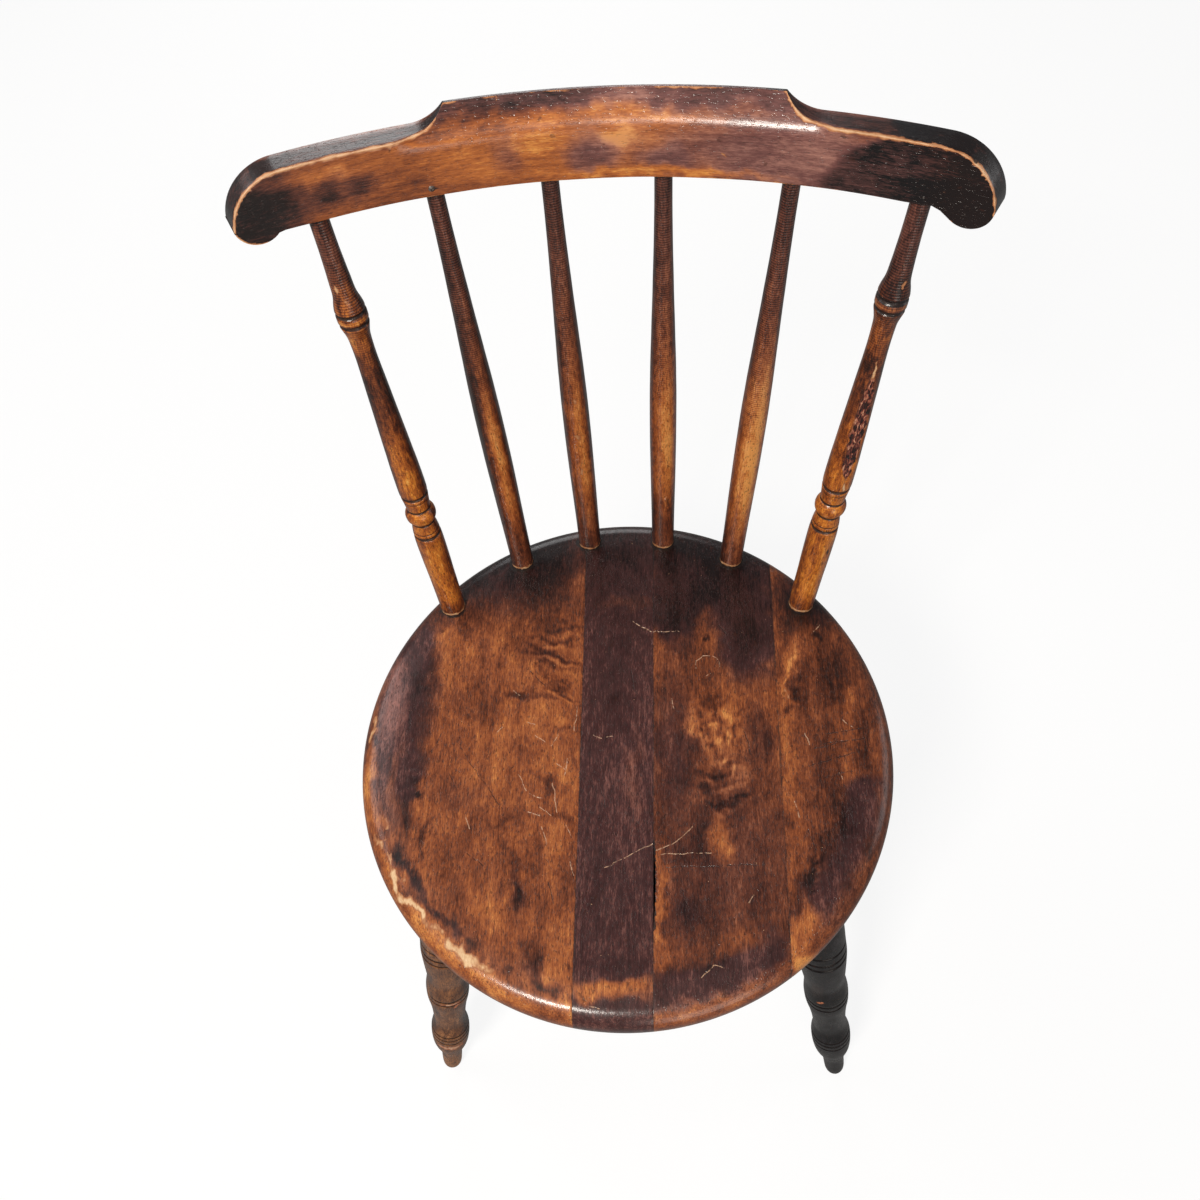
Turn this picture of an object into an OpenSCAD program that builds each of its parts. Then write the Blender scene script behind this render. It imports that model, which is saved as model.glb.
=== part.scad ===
// Round-seat kitchen chair: four glued seat boards, turned legs and back
// posts, plain back sticks, a bent crest rail and an H of stretchers.
// Every turned piece ends in a round tenon glued into a bored socket.

/* [Seat] */
// Height of the seat rim above the floor, at its centre line
seat_h = 445; // [380:1:500]
// Radius of the round seat
seat_r = 190; // [175:1:220]
// Thickness of the seat boards
seat_t = 32; // [30:0.5:40]
// Radius of the rounded edge, top and bottom
edge_r = 14; // [8:0.5:14]
// How deep the seat is hollowed in the middle
dish_depth = 4; // [1:0.5:6]
// Radius at which the hollow starts
dish_r = 165; // [140:1:168]
// Slope of the seat, front edge higher
seat_tilt = 2; // [0:0.5:4]
// Glue line between the left board and the dark board
seam_left = -31; // [-60:1:-20]
// Glue line between the dark board and the middle board
seam_mid = 21; // [10:1:50]
// Glue line between the middle board and the right board
seam_right = 110; // [90:1:130]

/* [Back] */
// Height of the crest rail's lower edge above the seat
back_h = 338.5; // [280:0.5:400]
// Distance of the rail's front face behind the seat's centre
rail_y = 193.5; // [170:0.5:230]
// How far the old back leans to the right
back_lean = 6; // [-10:0.5:10]
// Slope of the crest rail's face
rake = 9.8; // [4:0.2:16]
// Radius of the circle that the spindle feet stand on
feet_r = 176.5; // [165:0.5:180]
// How far that circle is set forward of the seat's centre
feet_shift = 3; // [0:0.5:6]
// Angles of the spindle feet from the middle of the back
feet_angles = [9.3, 27.2, 48.3];
// Places of the six holes along the crest rail, bored by eye
rail_holes = [-153, -92, -32, 27, 93, 158];
// Depth of the spindle tenons in the seat
foot_tenon = 20; // [15:1:22]
// Depth of the spindle tenons in the crest rail
top_tenon = 20; // [15:1:24]

/* [Crest rail] */
// Bending radius of the rail's front face
rail_bend = 391; // [350:1:450]
// Thickness of the rail
rail_t = 16; // [15:0.5:22]
// Half the length of the rail, round the bend
rail_half = 196; // [190:1:210]
// Height of the low ends
ear_h = 32.6; // [30:0.2:36]
// Height of the raised middle
crown_h = 41.5; // [38:0.5:50]
// Height of the front ridge where the rolled top begins
ridge_h = 29.5; // [24:0.5:32]
// Width of the flat left on top of the roll
crown_land = 2; // [1:0.5:4]
// Half the length of the raised middle
crown_half = 80; // [70:1:90]
// How far the raised middle sits to the right of the rail's middle
crown_shift = 3; // [0:0.5:5]
// Radius of the scoop between the middle and each end
scoop_r = 24; // [16:1:30]
// Radius of the rounded end
ear_r = 30; // [26:0.5:32]
// Radius of the small lobe that drops under each end
lobe_r = 13; // [10:0.5:14]
// How far the lobe drops below the rail's lower edge
lobe_drop = 5; // [3:0.5:8]

/* [Back spindles] */
// Radius of a post's foot
post_foot_r = 9.1; // [8.5:0.1:10]
// Radius of a post's bead
post_bead_r = 10.5; // [10:0.1:12]
// Height of a post's bead above the seat
post_bead_at = 114; // [100:1:130]
// Radius of a post's bulb
post_bulb_r = 9.1; // [8:0.1:11]
// Distance of a post's bulb below the rail
post_bulb_at = 65; // [55:1:80]
// Radius of a post where it enters the rail
post_tip_r = 5.3; // [4.5:0.1:5.6]
// Radius of a stick's foot
stick_foot_r = 8.4; // [8:0.1:9]
// Largest radius of a stick
stick_belly_r = 9.1; // [8.5:0.1:11]
// Height of that belly above the seat
stick_belly_at = 120; // [90:1:160]
// Radius of a stick where it enters the rail
stick_tip_r = 4.7; // [4:0.1:5.4]

/* [Legs] */
// Distance of a front foot from the middle
front_foot_x = 188.5; // [165:0.5:200]
// Distance of the front feet before the seat's centre
front_foot_y = 174; // [150:0.5:190]
// Distance of a front leg's socket from the middle
front_top_x = 131; // [124:0.5:135]
// Distance of the front sockets before the seat's centre
front_top_y = 78; // [60:0.5:90]
// Distance of a back foot from the middle
back_foot_x = 165; // [140:0.5:180]
// Distance of the back feet behind the seat's centre
back_foot_y = 186; // [160:0.5:195]
// Distance of a back leg's socket from the middle
back_top_x = 94; // [80:0.5:96]
// Distance of the back sockets behind the seat's centre
back_top_y = 98; // [80:0.5:105]
// Radius of the worn toe
toe_r = 9.4; // [8:0.1:12]
// Radius of the lowest bulge of a front leg
low_bulge_r = 17.4; // [15:0.1:20]
// Radius of the middle bulge
mid_bulge_r = 18.5; // [16:0.1:21]
// Radius of the top bulge
top_bulge_r = 19.9; // [17:0.1:22]
// Heights of the three bulges, measured along the leg
bulge_at = [95, 200, 288];
// Largest radius of a back leg
back_leg_r = 17; // [15:0.1:19]
// Radius of a leg's tenon
leg_tenon_r = 12.5; // [10:0.1:13]
// Depth of a leg's tenon in the seat
leg_tenon = 19; // [15:0.5:20]

/* [Stretchers] */
// Height of the side stretchers at the front legs
side_front_z = 165; // [130:1:200]
// Height of the side stretchers at the back legs
side_back_z = 150; // [120:1:200]
// Largest radius of a stretcher
stretcher_r = 11.5; // [11:0.1:13]
// Radius of a side stretcher's tenon
side_tenon_r = 7.5; // [6:0.1:8]
// Radius of a cross stretcher's tenon
cross_tenon_r = 6; // [5:0.1:6.5]
// Places of the cross stretchers along the side ones, from the front
cross_at = [0.3, 0.7];

/* [Fits] */
// Glue gap round every tenon
glue_gap = 0.1; // [0.05:0.05:0.3]
// Room left at the bottom of every socket
socket_room = 0.6; // [0.3:0.1:2]
// Radius of a steel pin
pin_r = 1.1; // [0.8:0.1:1.4]
// Radius of a pin's head
pin_head_r = 1.9; // [1.6:0.1:2.4]
// Length of a pin
pin_l = 12.5; // [11:0.5:13]
// Height of the pins above the rail's lower edge
pin_h = 4.5; // [3.5:0.5:8]
// Gap round a pin
pin_gap = 0.05; // [0.02:0.01:0.1]
// Thickness of a pin's head
pin_head_t = 0.6; // [0.4:0.1:1]
// How deep a pin is driven below the wood
pin_sink = 0.2; // [0.1:0.1:0.5]

/* [Turned rings] */
// Radius of the tool that cuts the fine rings
ring_r = 0.9; // [0.6:0.1:1.5]
// How deep it cuts
ring_depth = 0.63; // [0.3:0.01:0.8]

/* [Hidden] */
$fn = 96;

// Stain colours
board_brown = "#8a5a2c";
board_plum = "#4a2c22";
board_gold = "#86602f";
rail_brown = "#6b3f24";
turned_brown = "#7a4a22";
leg_brown = "#44362c";
hidden_brown = "#5a4028";
steel = "#8d8f92";

// How far a blank or a cutting shape runs past the finished surface
clear = 20;
run_out = 2;

// The rounded edge, limited by the thickness of the boards
round_r = min(edge_r, seat_t / 2 - 1);

// The frame's origin lies on the floor, under the middle of the whole chair
front_y = -((seat_r - round_r) * cos(seat_tilt) + (seat_t - round_r) * sin(seat_tilt) + round_r);
back_y = rail_y + rail_t * cos(rake) + crown_h * sin(rake);
middle_y = (front_y + back_y) / 2;

// Middles of the rounded end and of the lobe, and where the lobe leaves the lower edge
ear_x = rail_half - ear_r;
lobe_x = rail_half - lobe_r;
lobe_rise = lobe_r - lobe_drop;
lobe_start = lobe_x - sqrt(lobe_r * lobe_r - lobe_rise * lobe_rise);

// The spindles are numbered 0 to 5 from the left, and these two are pinned to the rail
pinned = [1, 5];
foot_angles = [
    -feet_angles[2], -feet_angles[1], -feet_angles[0],
    feet_angles[0], feet_angles[1], feet_angles[2]
];

// How far a stretcher's end stops short of the axis of the piece that holds it
side_reach = 4;
cross_reach = 3;

// A block wide enough to hold the whole seat
seat_block = 4 * seat_r;

// The block that saws a foot off level with the floor
foot_saw = [60, 60, 20];

// ---- points ----

// A point of the tilted seat: x, y across it and z from the rim's plane
function seat_point(x, y, z) = [
    x,
    y * cos(seat_tilt) + z * sin(seat_tilt),
    seat_h - y * sin(seat_tilt) + z * cos(seat_tilt)
];

// A point of the rail: s round the bend, t behind its front face, h above its lower edge
function bend_angle(s) = s / rail_bend * 180 / PI;
function rail_depth(s, t) = (rail_bend + t) * cos(bend_angle(s)) - rail_bend;
function rail_point(s, t, h) = [
    back_lean + (rail_bend + t) * sin(bend_angle(s)),
    rail_y + rail_depth(s, t) * cos(rake) + h * sin(rake),
    seat_h + back_h - rail_depth(s, t) * sin(rake) + h * cos(rake)
];

function spindle_foot(i) = seat_point(
    feet_r * sin(foot_angles[i]), feet_r * cos(foot_angles[i]) - feet_shift, 0);
function spindle_top(i) = rail_point(rail_holes[i], rail_t / 2, 0);

// A leg runs from its foot on the floor to its socket under the seat
function leg_foot(side, front) = front
    ? [side * front_foot_x, -front_foot_y, 0]
    : [side * back_foot_x, back_foot_y, 0];
function leg_top(side, front) = front
    ? seat_point(side * front_top_x, -front_top_y, -seat_t)
    : seat_point(side * back_top_x, back_top_y, -seat_t);
function at_height(a, b, z) = a + (b - a) * (z - a[2]) / (b[2] - a[2]);
function side_end(side, front) = at_height(
    leg_foot(side, front), leg_top(side, front), front ? side_front_z : side_back_z);
function cross_end(side, k) =
    side_end(side, true) + (side_end(side, false) - side_end(side, true)) * cross_at[k];

// ---- turning ----

// Slope of the smooth outline at one station
function slope(p, i) =
    let (a = max(i - 1, 0), b = min(i + 1, len(p) - 1))
    (p[b][1] - p[a][1]) / (p[b][0] - p[a][0]);

// A smooth outline through stations of [place along the axis, radius]
function smooth(p, steps = 4) = [
    for (i = [0 : len(p) - 2], k = [0 : steps - 1])
        let (
            u = k / steps,
            w = p[i + 1][0] - p[i][0],
            a = 2 * u * u * u - 3 * u * u + 1,
            b = (u * u * u - 2 * u * u + u) * w,
            c = (u * u * u - u * u) * w
        )
        [p[i][0] + u * w, a * p[i][1] + (1 - a) * p[i + 1][1] + b * slope(p, i) + c * slope(p, i + 1)],
    p[len(p) - 1]
];

// Puts the z axis on the line from a to b
module along(a, b) {
    d = b - a;
    translate(a)
        rotate([0, acos(d[2] / norm(d)), atan2(d[1], d[0])])
            children();
}

// A turned body, with its seam turned away from the sockets on its inner side
module turned(p) {
    first = p[0][0];
    last = p[len(p) - 1][0];
    rotate([0, 0, 180])
        rotate_extrude()
            polygon([[0, first], for (q = p) [q[1], q[0]], [0, last]]);
}

// Fine incised rings at the given places of an outline
module rings(p, places) {
    for (z = places)
        rotate([0, 0, 180])
            rotate_extrude()
                translate([lookup(z, p) + ring_r - ring_depth, z])
                    circle(r = ring_r, $fn = 24);
}

// ---- seat ----

module seat_section() {
    dish_ball = (dish_r * dish_r + dish_depth * dish_depth) / (2 * dish_depth);
    difference() {
        union() {
            translate([0, -seat_t])
                square([seat_r - round_r, seat_t]);
            translate([0, round_r - seat_t])
                square([seat_r, seat_t - 2 * round_r]);
            for (y = [-round_r, round_r - seat_t])
                translate([seat_r - round_r, y])
                    circle(r = round_r);
        }
        // The ball that hollows the top is metres across, so it needs many sides
        translate([0, dish_ball - dish_depth])
            circle(r = dish_ball, $fn = 1440);
    }
}

module seat_sockets() {
    for (i = [0 : 5])
        along(spindle_foot(i), spindle_top(i))
            translate([0, 0, -foot_tenon - socket_room])
                cylinder(r = foot_r(i) + glue_gap, h = foot_tenon + socket_room + clear);
    for (side = [-1, 1], front = [true, false])
        along(leg_top(side, front), leg_foot(side, front))
            translate([0, 0, -leg_tenon - socket_room])
                cylinder(r = leg_tenon_r + glue_gap, h = leg_tenon + socket_room + clear);
}

module seat_board(x0, x1) {
    difference() {
        translate([0, 0, seat_h])
            rotate([-seat_tilt, 0, 0])
                intersection() {
                    rotate_extrude()
                        intersection() {
                            seat_section();
                            translate([0, -seat_block / 2])
                                square(seat_block);
                        }
                    translate([x0, -seat_block / 2, -seat_block / 2])
                        cube([x1 - x0, seat_block, seat_block]);
                }
        seat_sockets();
    }
}

module seat_board_left() { color(board_brown) seat_board(-seat_block / 2, seam_left); }
module seat_board_dark() { color(board_plum) seat_board(seam_left, seam_mid); }
module seat_board_middle() { color(board_brown) seat_board(seam_mid, seam_right); }
module seat_board_right() { color(board_gold) seat_board(seam_right, seat_block / 2); }

// ---- back spindles ----

function is_post(i) = i == 0 || i == 5;
function foot_r(i) = is_post(i) ? post_foot_r : stick_foot_r;
function tip_r(i) = is_post(i) ? post_tip_r : stick_tip_r;

// Stations of a turned post of length l, from its foot up
function post_stations(l) = [
    [0, post_foot_r],
    [25, post_foot_r + 0.1],
    [55, post_foot_r + 0.5],
    [85, post_foot_r + 0.8],
    [post_bead_at - 18, post_foot_r + 0.3],
    [post_bead_at - 9, post_foot_r - 0.3],
    [post_bead_at - 4, post_bead_r - 0.9],
    [post_bead_at, post_bead_r],
    [post_bead_at + 4, post_bead_r - 0.9],
    [post_bead_at + 9, post_foot_r - 0.5],
    [post_bead_at + 18, post_foot_r],
    [post_bead_at + 30, post_foot_r + 0.4],
    [post_bead_at + 60, post_foot_r - 0.1],
    [l - post_bulb_at - 75, 7.8],
    [l - post_bulb_at - 28, 6.4],
    [l - post_bulb_at - 14, 6.7],
    [l - post_bulb_at - 6, post_bulb_r - 0.5],
    [l - post_bulb_at, post_bulb_r],
    [l - post_bulb_at + 6, post_bulb_r - 0.4],
    [l - post_bulb_at + 16, 6.8],
    [l - post_bulb_at + 30, 6],
    [l - 20, post_tip_r + 0.1],
    [l, post_tip_r]
];
function post_rings(l) = [
    post_bead_at - 20, post_bead_at + 21,
    l - post_bulb_at - 3, l - post_bulb_at + 3
];

// Stations of a plain stick of length l, from its foot up
function stick_stations(l) = [
    [0, stick_foot_r],
    [40, stick_foot_r + 0.2],
    [stick_belly_at - 30, stick_belly_r - 0.2],
    [stick_belly_at, stick_belly_r],
    [stick_belly_at + 45, stick_belly_r - 0.3],
    [l - 120, stick_tip_r + 2.7],
    [l - 70, stick_tip_r + 1.2],
    [l - 30, stick_tip_r + 0.3],
    [l, stick_tip_r]
];

module spindle(i) {
    foot = spindle_foot(i);
    top = spindle_top(i);
    l = norm(top - foot);
    outline = smooth(is_post(i) ? post_stations(l) : stick_stations(l));
    difference() {
        along(foot, top)
            difference() {
                union() {
                    turned(outline);
                    translate([0, 0, -foot_tenon])
                        cylinder(r = foot_r(i), h = foot_tenon);
                    translate([0, 0, l])
                        cylinder(r = tip_r(i), h = top_tenon);
                }
                if (is_post(i))
                    rings(outline, post_rings(l));
            }
        for (k = pinned)
            if (k == i)
                pin_hole(i);
    }
}

module back_post_left() { color(turned_brown) spindle(0); }
module back_post_right() { color(turned_brown) spindle(5); }
module back_stick_1() { color(turned_brown) spindle(1); }
module back_stick_2() { color(turned_brown) spindle(2); }
module back_stick_3() { color(turned_brown) spindle(3); }
module back_stick_4() { color(turned_brown) spindle(4); }

// ---- crest rail ----

// Carries the rail's own frame to its place: x across, y back and z up its face,
// with the axis of the bend at the origin
module at_rail() {
    translate([back_lean, rail_y, seat_h + back_h])
        rotate([-rake, 0, 0])
            translate([0, -rail_bend, 0])
                children();
}

// Sweeps a section of [depth, height] round the bend between two places
module round_bend(s0, s1) {
    rotate([0, 0, 90 - bend_angle(s1)])
        rotate_extrude(angle = bend_angle(s1 - s0))
            translate([rail_bend, 0])
                children();
}

// Points along an arc about c
function arc(c, r, from, to, steps = 14) = [
    for (k = [0 : steps])
        let (turn = from + (to - from) * k / steps)
        c + r * [cos(turn), sin(turn)]
];

// What is sawn away at one end, as [s, h]: down the scoop, along the low top,
// round the end and the lobe, and back under it. shift moves the scoop outwards.
module end_waste(shift) {
    rise = scoop_r - (crown_h - ear_h);
    scoop = [crown_half + shift + sqrt(scoop_r * scoop_r - rise * rise), ear_h + scoop_r];
    shoulder = acos((lobe_rise - (ear_h - ear_r)) / ear_r);
    polygon(concat(
        arc(scoop, scoop_r, 195, 270),
        arc([ear_x, ear_h - ear_r], ear_r, 90, 90 - shoulder),
        arc([lobe_x, lobe_rise], lobe_r, 0, -180 + asin(lobe_rise / lobe_r)),
        [
            [lobe_start - 2 * run_out, 0],
            [lobe_start - 2 * run_out, -2 * lobe_r],
            [rail_half + ear_r, -2 * lobe_r],
            [rail_half + ear_r, 2 * crown_h],
            [scoop[0] - scoop_r, 2 * crown_h]
        ]
    ));
}

// Cuts an outline of [s, h] through the rail, square to its face at the rounded end
module through_end() {
    rotate([0, 0, -bend_angle(ear_x)])
        translate([-ear_x, rail_bend + 2 * rail_t, 0])
            rotate([90, 0, 0])
                linear_extrude(4 * rail_t)
                    children();
}

// A pin's place: on the rail's face, pointing back through the tenon
module at_pin(i) {
    at_rail()
        rotate([0, 0, -bend_angle(rail_holes[i])])
            translate([0, rail_bend, pin_h])
                rotate([-90, 0, 0])
                    children();
}

module pin_hole(i) {
    at_pin(i) {
        cylinder(r = pin_r + pin_gap, h = pin_l + pin_gap);
        translate([0, 0, -run_out])
            cylinder(r = pin_head_r + pin_gap, h = run_out + pin_sink + pin_head_t);
    }
}

// The bent blank: its section has the rolled top of the raised middle
module rail_blank() {
    round_bend(-rail_half - run_out, rail_half + run_out)
        polygon([
            [0, -lobe_drop - run_out],
            [rail_t, -lobe_drop - run_out],
            [rail_t, crown_h],
            [rail_t - crown_land, crown_h],
            [0, ridge_h]
        ]);
}

// The front edge of a low end, which isn't rolled
module end_strip() {
    round_bend(crown_half + scoop_r + run_out, ear_x)
        translate([0, ridge_h - 2 * run_out])
            square([rail_t / 2, ear_h - ridge_h + 2 * run_out]);
}

module crest_rail() {
    color(rail_brown)
        difference() {
            at_rail() {
                difference() {
                    rail_blank();
                    // The lower edge between the lobes
                    round_bend(-lobe_start + run_out, lobe_start - run_out)
                        translate([-rail_t, -2 * lobe_r])
                            square([3 * rail_t, 2 * lobe_r]);
                    through_end()
                        end_waste(crown_shift);
                    mirror([1, 0, 0])
                        through_end()
                            end_waste(-crown_shift);
                }
                end_strip();
                mirror([1, 0, 0])
                    end_strip();
            }
            for (i = [0 : 5])
                along(spindle_top(i), spindle_foot(i))
                    translate([0, 0, -top_tenon - socket_room])
                        cylinder(r = tip_r(i) + glue_gap, h = top_tenon + socket_room + clear);
            for (i = pinned)
                pin_hole(i);
        }
}

module rail_pin(i) {
    color(steel)
        at_pin(i)
            translate([0, 0, pin_sink]) {
                cylinder(r = pin_head_r, h = pin_head_t);
                cylinder(r = pin_r, h = pin_l - pin_sink);
            }
}

module rail_pin_left() { rail_pin(pinned[0]); }
module rail_pin_right() { rail_pin(pinned[1]); }

// ---- legs ----

// Stations of a front leg of length l, from the floor up
function front_leg_stations(l) = [
    [-6, toe_r - 0.1],
    [14, toe_r + 0.2],
    [34, toe_r + 0.7],
    [bulge_at[0] - 47, low_bulge_r - 4.7],
    [bulge_at[0] - 29, low_bulge_r - 1.4],
    [bulge_at[0], low_bulge_r],
    [bulge_at[0] + 15, low_bulge_r - 0.9],
    [bulge_at[0] + 36, low_bulge_r - 3.1],
    [bulge_at[1] - 44, mid_bulge_r - 3.2],
    [bulge_at[1] - 18, mid_bulge_r - 0.8],
    [bulge_at[1], mid_bulge_r],
    [bulge_at[1] + 14, mid_bulge_r - 0.4],
    [bulge_at[1] + 37, mid_bulge_r - 1.9],
    [bulge_at[2] - 28, top_bulge_r - 1.3],
    [bulge_at[2], top_bulge_r],
    [bulge_at[2] + 18, top_bulge_r - 0.6],
    [l - 95, top_bulge_r - 1.2],
    [l - 40, leg_tenon_r + 2],
    [l - 14, leg_tenon_r],
    [l, leg_tenon_r]
];
function front_leg_rings() = [
    bulge_at[0] + 9, bulge_at[0] + 16,
    bulge_at[1] + 4, bulge_at[1] + 10,
    bulge_at[2] + 6, bulge_at[2] + 13
];

// Stations of a back leg of length l, from the floor up
function back_leg_stations(l) = [
    [-6, toe_r + 0.4],
    [60, toe_r + 3],
    [150, back_leg_r - 0.8],
    [230, back_leg_r],
    [l - 110, back_leg_r - 0.6],
    [l - 40, leg_tenon_r + 1.2],
    [l - 14, leg_tenon_r],
    [l, leg_tenon_r]
];
function back_leg_rings() = [100, 107, 290, 297];

module leg(side, front) {
    foot = leg_foot(side, front);
    top = leg_top(side, front);
    l = norm(top - foot);
    outline = smooth(front ? front_leg_stations(l) : back_leg_stations(l));
    color(leg_brown)
        difference() {
            along(foot, top)
                difference() {
                    union() {
                        turned(outline);
                        translate([0, 0, l])
                            cylinder(r = leg_tenon_r, h = leg_tenon);
                    }
                    rings(outline, front ? front_leg_rings() : back_leg_rings());
                }
            // The foot is sawn off level with the floor
            translate([foot[0], foot[1], -foot_saw[2] / 2])
                cube(foot_saw, center = true);
            // Socket of the side stretcher
            along(side_end(side, front), side_end(side, !front))
                translate([0, 0, side_reach - socket_room])
                    cylinder(r = side_tenon_r + glue_gap, h = 2 * top_bulge_r);
        }
}

module front_leg_left() { leg(-1, true); }
module front_leg_right() { leg(1, true); }
module back_leg_left() { leg(-1, false); }
module back_leg_right() { leg(1, false); }

// ---- stretchers ----

// Stations of a stretcher whose sockets' axes stand l apart
function stretcher_stations(l, tenon_r, reach) = [
    [reach, tenon_r],
    [30, tenon_r],
    [55, (tenon_r + stretcher_r) / 2],
    [75, stretcher_r - 0.7],
    [l / 2, stretcher_r],
    [l - 75, stretcher_r - 0.7],
    [l - 55, (tenon_r + stretcher_r) / 2],
    [l - 30, tenon_r],
    [l - reach, tenon_r]
];

module side_stretcher(side) {
    front = side_end(side, true);
    back = side_end(side, false);
    color(hidden_brown)
        difference() {
            along(front, back)
                turned(smooth(stretcher_stations(norm(back - front), side_tenon_r, side_reach)));
            for (k = [0, 1])
                along(cross_end(side, k), cross_end(-side, k))
                    translate([0, 0, cross_reach - socket_room])
                        cylinder(r = cross_tenon_r + glue_gap, h = 2 * stretcher_r);
        }
}

module cross_stretcher(k) {
    left = cross_end(-1, k);
    right = cross_end(1, k);
    color(hidden_brown)
        along(left, right)
            turned(smooth(stretcher_stations(norm(right - left), cross_tenon_r, cross_reach)));
}

module side_stretcher_left() { side_stretcher(-1); }
module side_stretcher_right() { side_stretcher(1); }
module cross_stretcher_front() { cross_stretcher(0); }
module cross_stretcher_back() { cross_stretcher(1); }

// ---- assembly ----

module place() {
    translate([0, -middle_y, 0])
        children();
}

place() seat_board_left();
place() seat_board_dark();
place() seat_board_middle();
place() seat_board_right();
place() back_post_left();
place() back_post_right();
place() back_stick_1();
place() back_stick_2();
place() back_stick_3();
place() back_stick_4();
place() crest_rail();
place() rail_pin_left();
place() rail_pin_right();
place() front_leg_left();
place() front_leg_right();
place() back_leg_left();
place() back_leg_right();
place() side_stretcher_left();
place() side_stretcher_right();
place() cross_stretcher_front();
place() cross_stretcher_back();
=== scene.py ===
"""A round-seat kitchen chair in stained and varnished beech and birch, with worn varnish."""
import math

import bmesh
import bpy
import numpy as np
from mathutils import Euler, Matrix, Vector, noise


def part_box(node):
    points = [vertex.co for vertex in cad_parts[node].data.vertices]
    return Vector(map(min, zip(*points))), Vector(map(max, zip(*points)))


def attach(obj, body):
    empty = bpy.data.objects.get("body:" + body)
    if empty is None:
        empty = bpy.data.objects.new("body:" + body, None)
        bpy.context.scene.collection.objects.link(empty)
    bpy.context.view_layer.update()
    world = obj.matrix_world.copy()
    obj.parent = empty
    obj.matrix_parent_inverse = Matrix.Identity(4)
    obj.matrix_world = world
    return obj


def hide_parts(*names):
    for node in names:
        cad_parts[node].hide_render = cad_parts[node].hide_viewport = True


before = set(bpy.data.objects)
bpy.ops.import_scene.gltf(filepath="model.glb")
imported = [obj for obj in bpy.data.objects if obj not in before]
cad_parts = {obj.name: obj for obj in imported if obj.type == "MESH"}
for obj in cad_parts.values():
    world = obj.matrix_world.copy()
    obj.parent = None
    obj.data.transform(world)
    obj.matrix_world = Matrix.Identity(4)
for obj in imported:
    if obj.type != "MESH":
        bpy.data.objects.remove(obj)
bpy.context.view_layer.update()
# Without a seed, turbulence_vector takes its offsets from the clock
noise.seed_set(1)

MM = 0.001
MASKS = ("tone", "plum", "wear", "scar", "dirt", "figure")
ALL_ROUND = 400  # half width, in degrees, of a mark that goes right round a turned piece


# ---- nodes and colours ----

def linear(code):
    """sRGB hex to the linear colour that a shader socket takes."""
    parts = [int(code[i:i + 2], 16) / 255 for i in (1, 3, 5)]
    return tuple(c / 12.92 if c <= 0.04045 else ((c + 0.055) / 1.055) ** 2.4 for c in parts) + (1,)


def empty_tree(owner):
    """The node tree of a material or world, cleared."""
    owner.use_nodes = True
    owner.node_tree.nodes.clear()
    return owner.node_tree


def node(tree, kind, links=None, stops=None, **settings):
    """Adds a node: links maps an input to another node's output or to a value."""
    new = tree.nodes.new("ShaderNode" + kind)
    for name, value in settings.items():
        setattr(new, name, value)
    for key, value in (links or {}).items():
        if isinstance(value, bpy.types.NodeSocket):
            tree.links.new(value, new.inputs[key])
        else:
            new.inputs[key].default_value = value
    for i, (place, code) in enumerate(stops or ()):
        ramp = new.color_ramp.elements
        stop = ramp[i] if i < 2 else ramp.new(place)
        stop.position = place
        stop.color = linear(code)
    return new


# ---- marks painted on the pieces ----

def spots(mask, *ovals):
    """Soft marks of one mask: (u, v, half_u, half_v, amount), and for some a turn in degrees."""
    return [(mask, *oval, 0)[:7] for oval in ovals]


def bands(mask, *rings):
    """Marks that go all round a turned piece: (place, half width, amount)."""
    return [(mask, 0, place, ALL_ROUND, half, amount, 0) for place, half, amount in rings]


def marks_at(u, v, marks):
    """Sums of the marks at many places, one array for each mask."""
    found = {name: np.zeros(len(u)) for name in MASKS}
    for mask, cu, cv, half_u, half_v, amount, turn in marks:
        c, s = math.cos(math.radians(turn)), math.sin(math.radians(turn))
        du, dv = u - cu, v - cv
        far = ((du * c + dv * s) / half_u) ** 2 + ((dv * c - du * s) / half_v) ** 2
        # A wide mark fades softly, a narrow one keeps a firmer edge
        fade = 1.7 if min(half_u, half_v) > 9 else 1.0
        found[mask] += amount * np.clip(1 - far, 0, 1) ** fade
    return found


def ragged(points, size, reach):
    """Pushes each place aside by noise of this size, so that painted marks get uneven edges."""
    pushed = [noise.turbulence_vector(Vector(p) / size, 4, False) for p in points]
    return points + np.array(pushed) * reach


def paint(bm, lay, masks):
    """Writes the float layers of a bmesh: the masks, and lay, whose z runs along the grain."""
    layers = bm.verts.layers
    lay_layer = layers.float_vector.new("lay")
    mask_layers = [layers.float.new(name) for name in MASKS]
    rows = zip(bm.verts, lay, *(masks[name] for name in MASKS))
    for vert, place, *values in rows:
        vert[lay_layer] = place
        for layer, value in zip(mask_layers, values):
            vert[layer] = value


def spun(points, steps, axis=(0, 0, 1)):
    """A new bmesh: the line through these points, in mm, spun round an axis and closed."""
    bm = bmesh.new()
    verts = [bm.verts.new([c * MM for c in point]) for point in points]
    line = [bm.edges.new(pair) for pair in zip(verts, verts[1:])]
    bmesh.ops.spin(bm, geom=verts + line, axis=axis, cent=(0, 0, 0), angle=2 * math.pi,
                   steps=steps, use_merge=True)
    bmesh.ops.remove_doubles(bm, verts=bm.verts, dist=1e-6)
    bmesh.ops.recalc_face_normals(bm, faces=bm.faces)
    return bm


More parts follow.
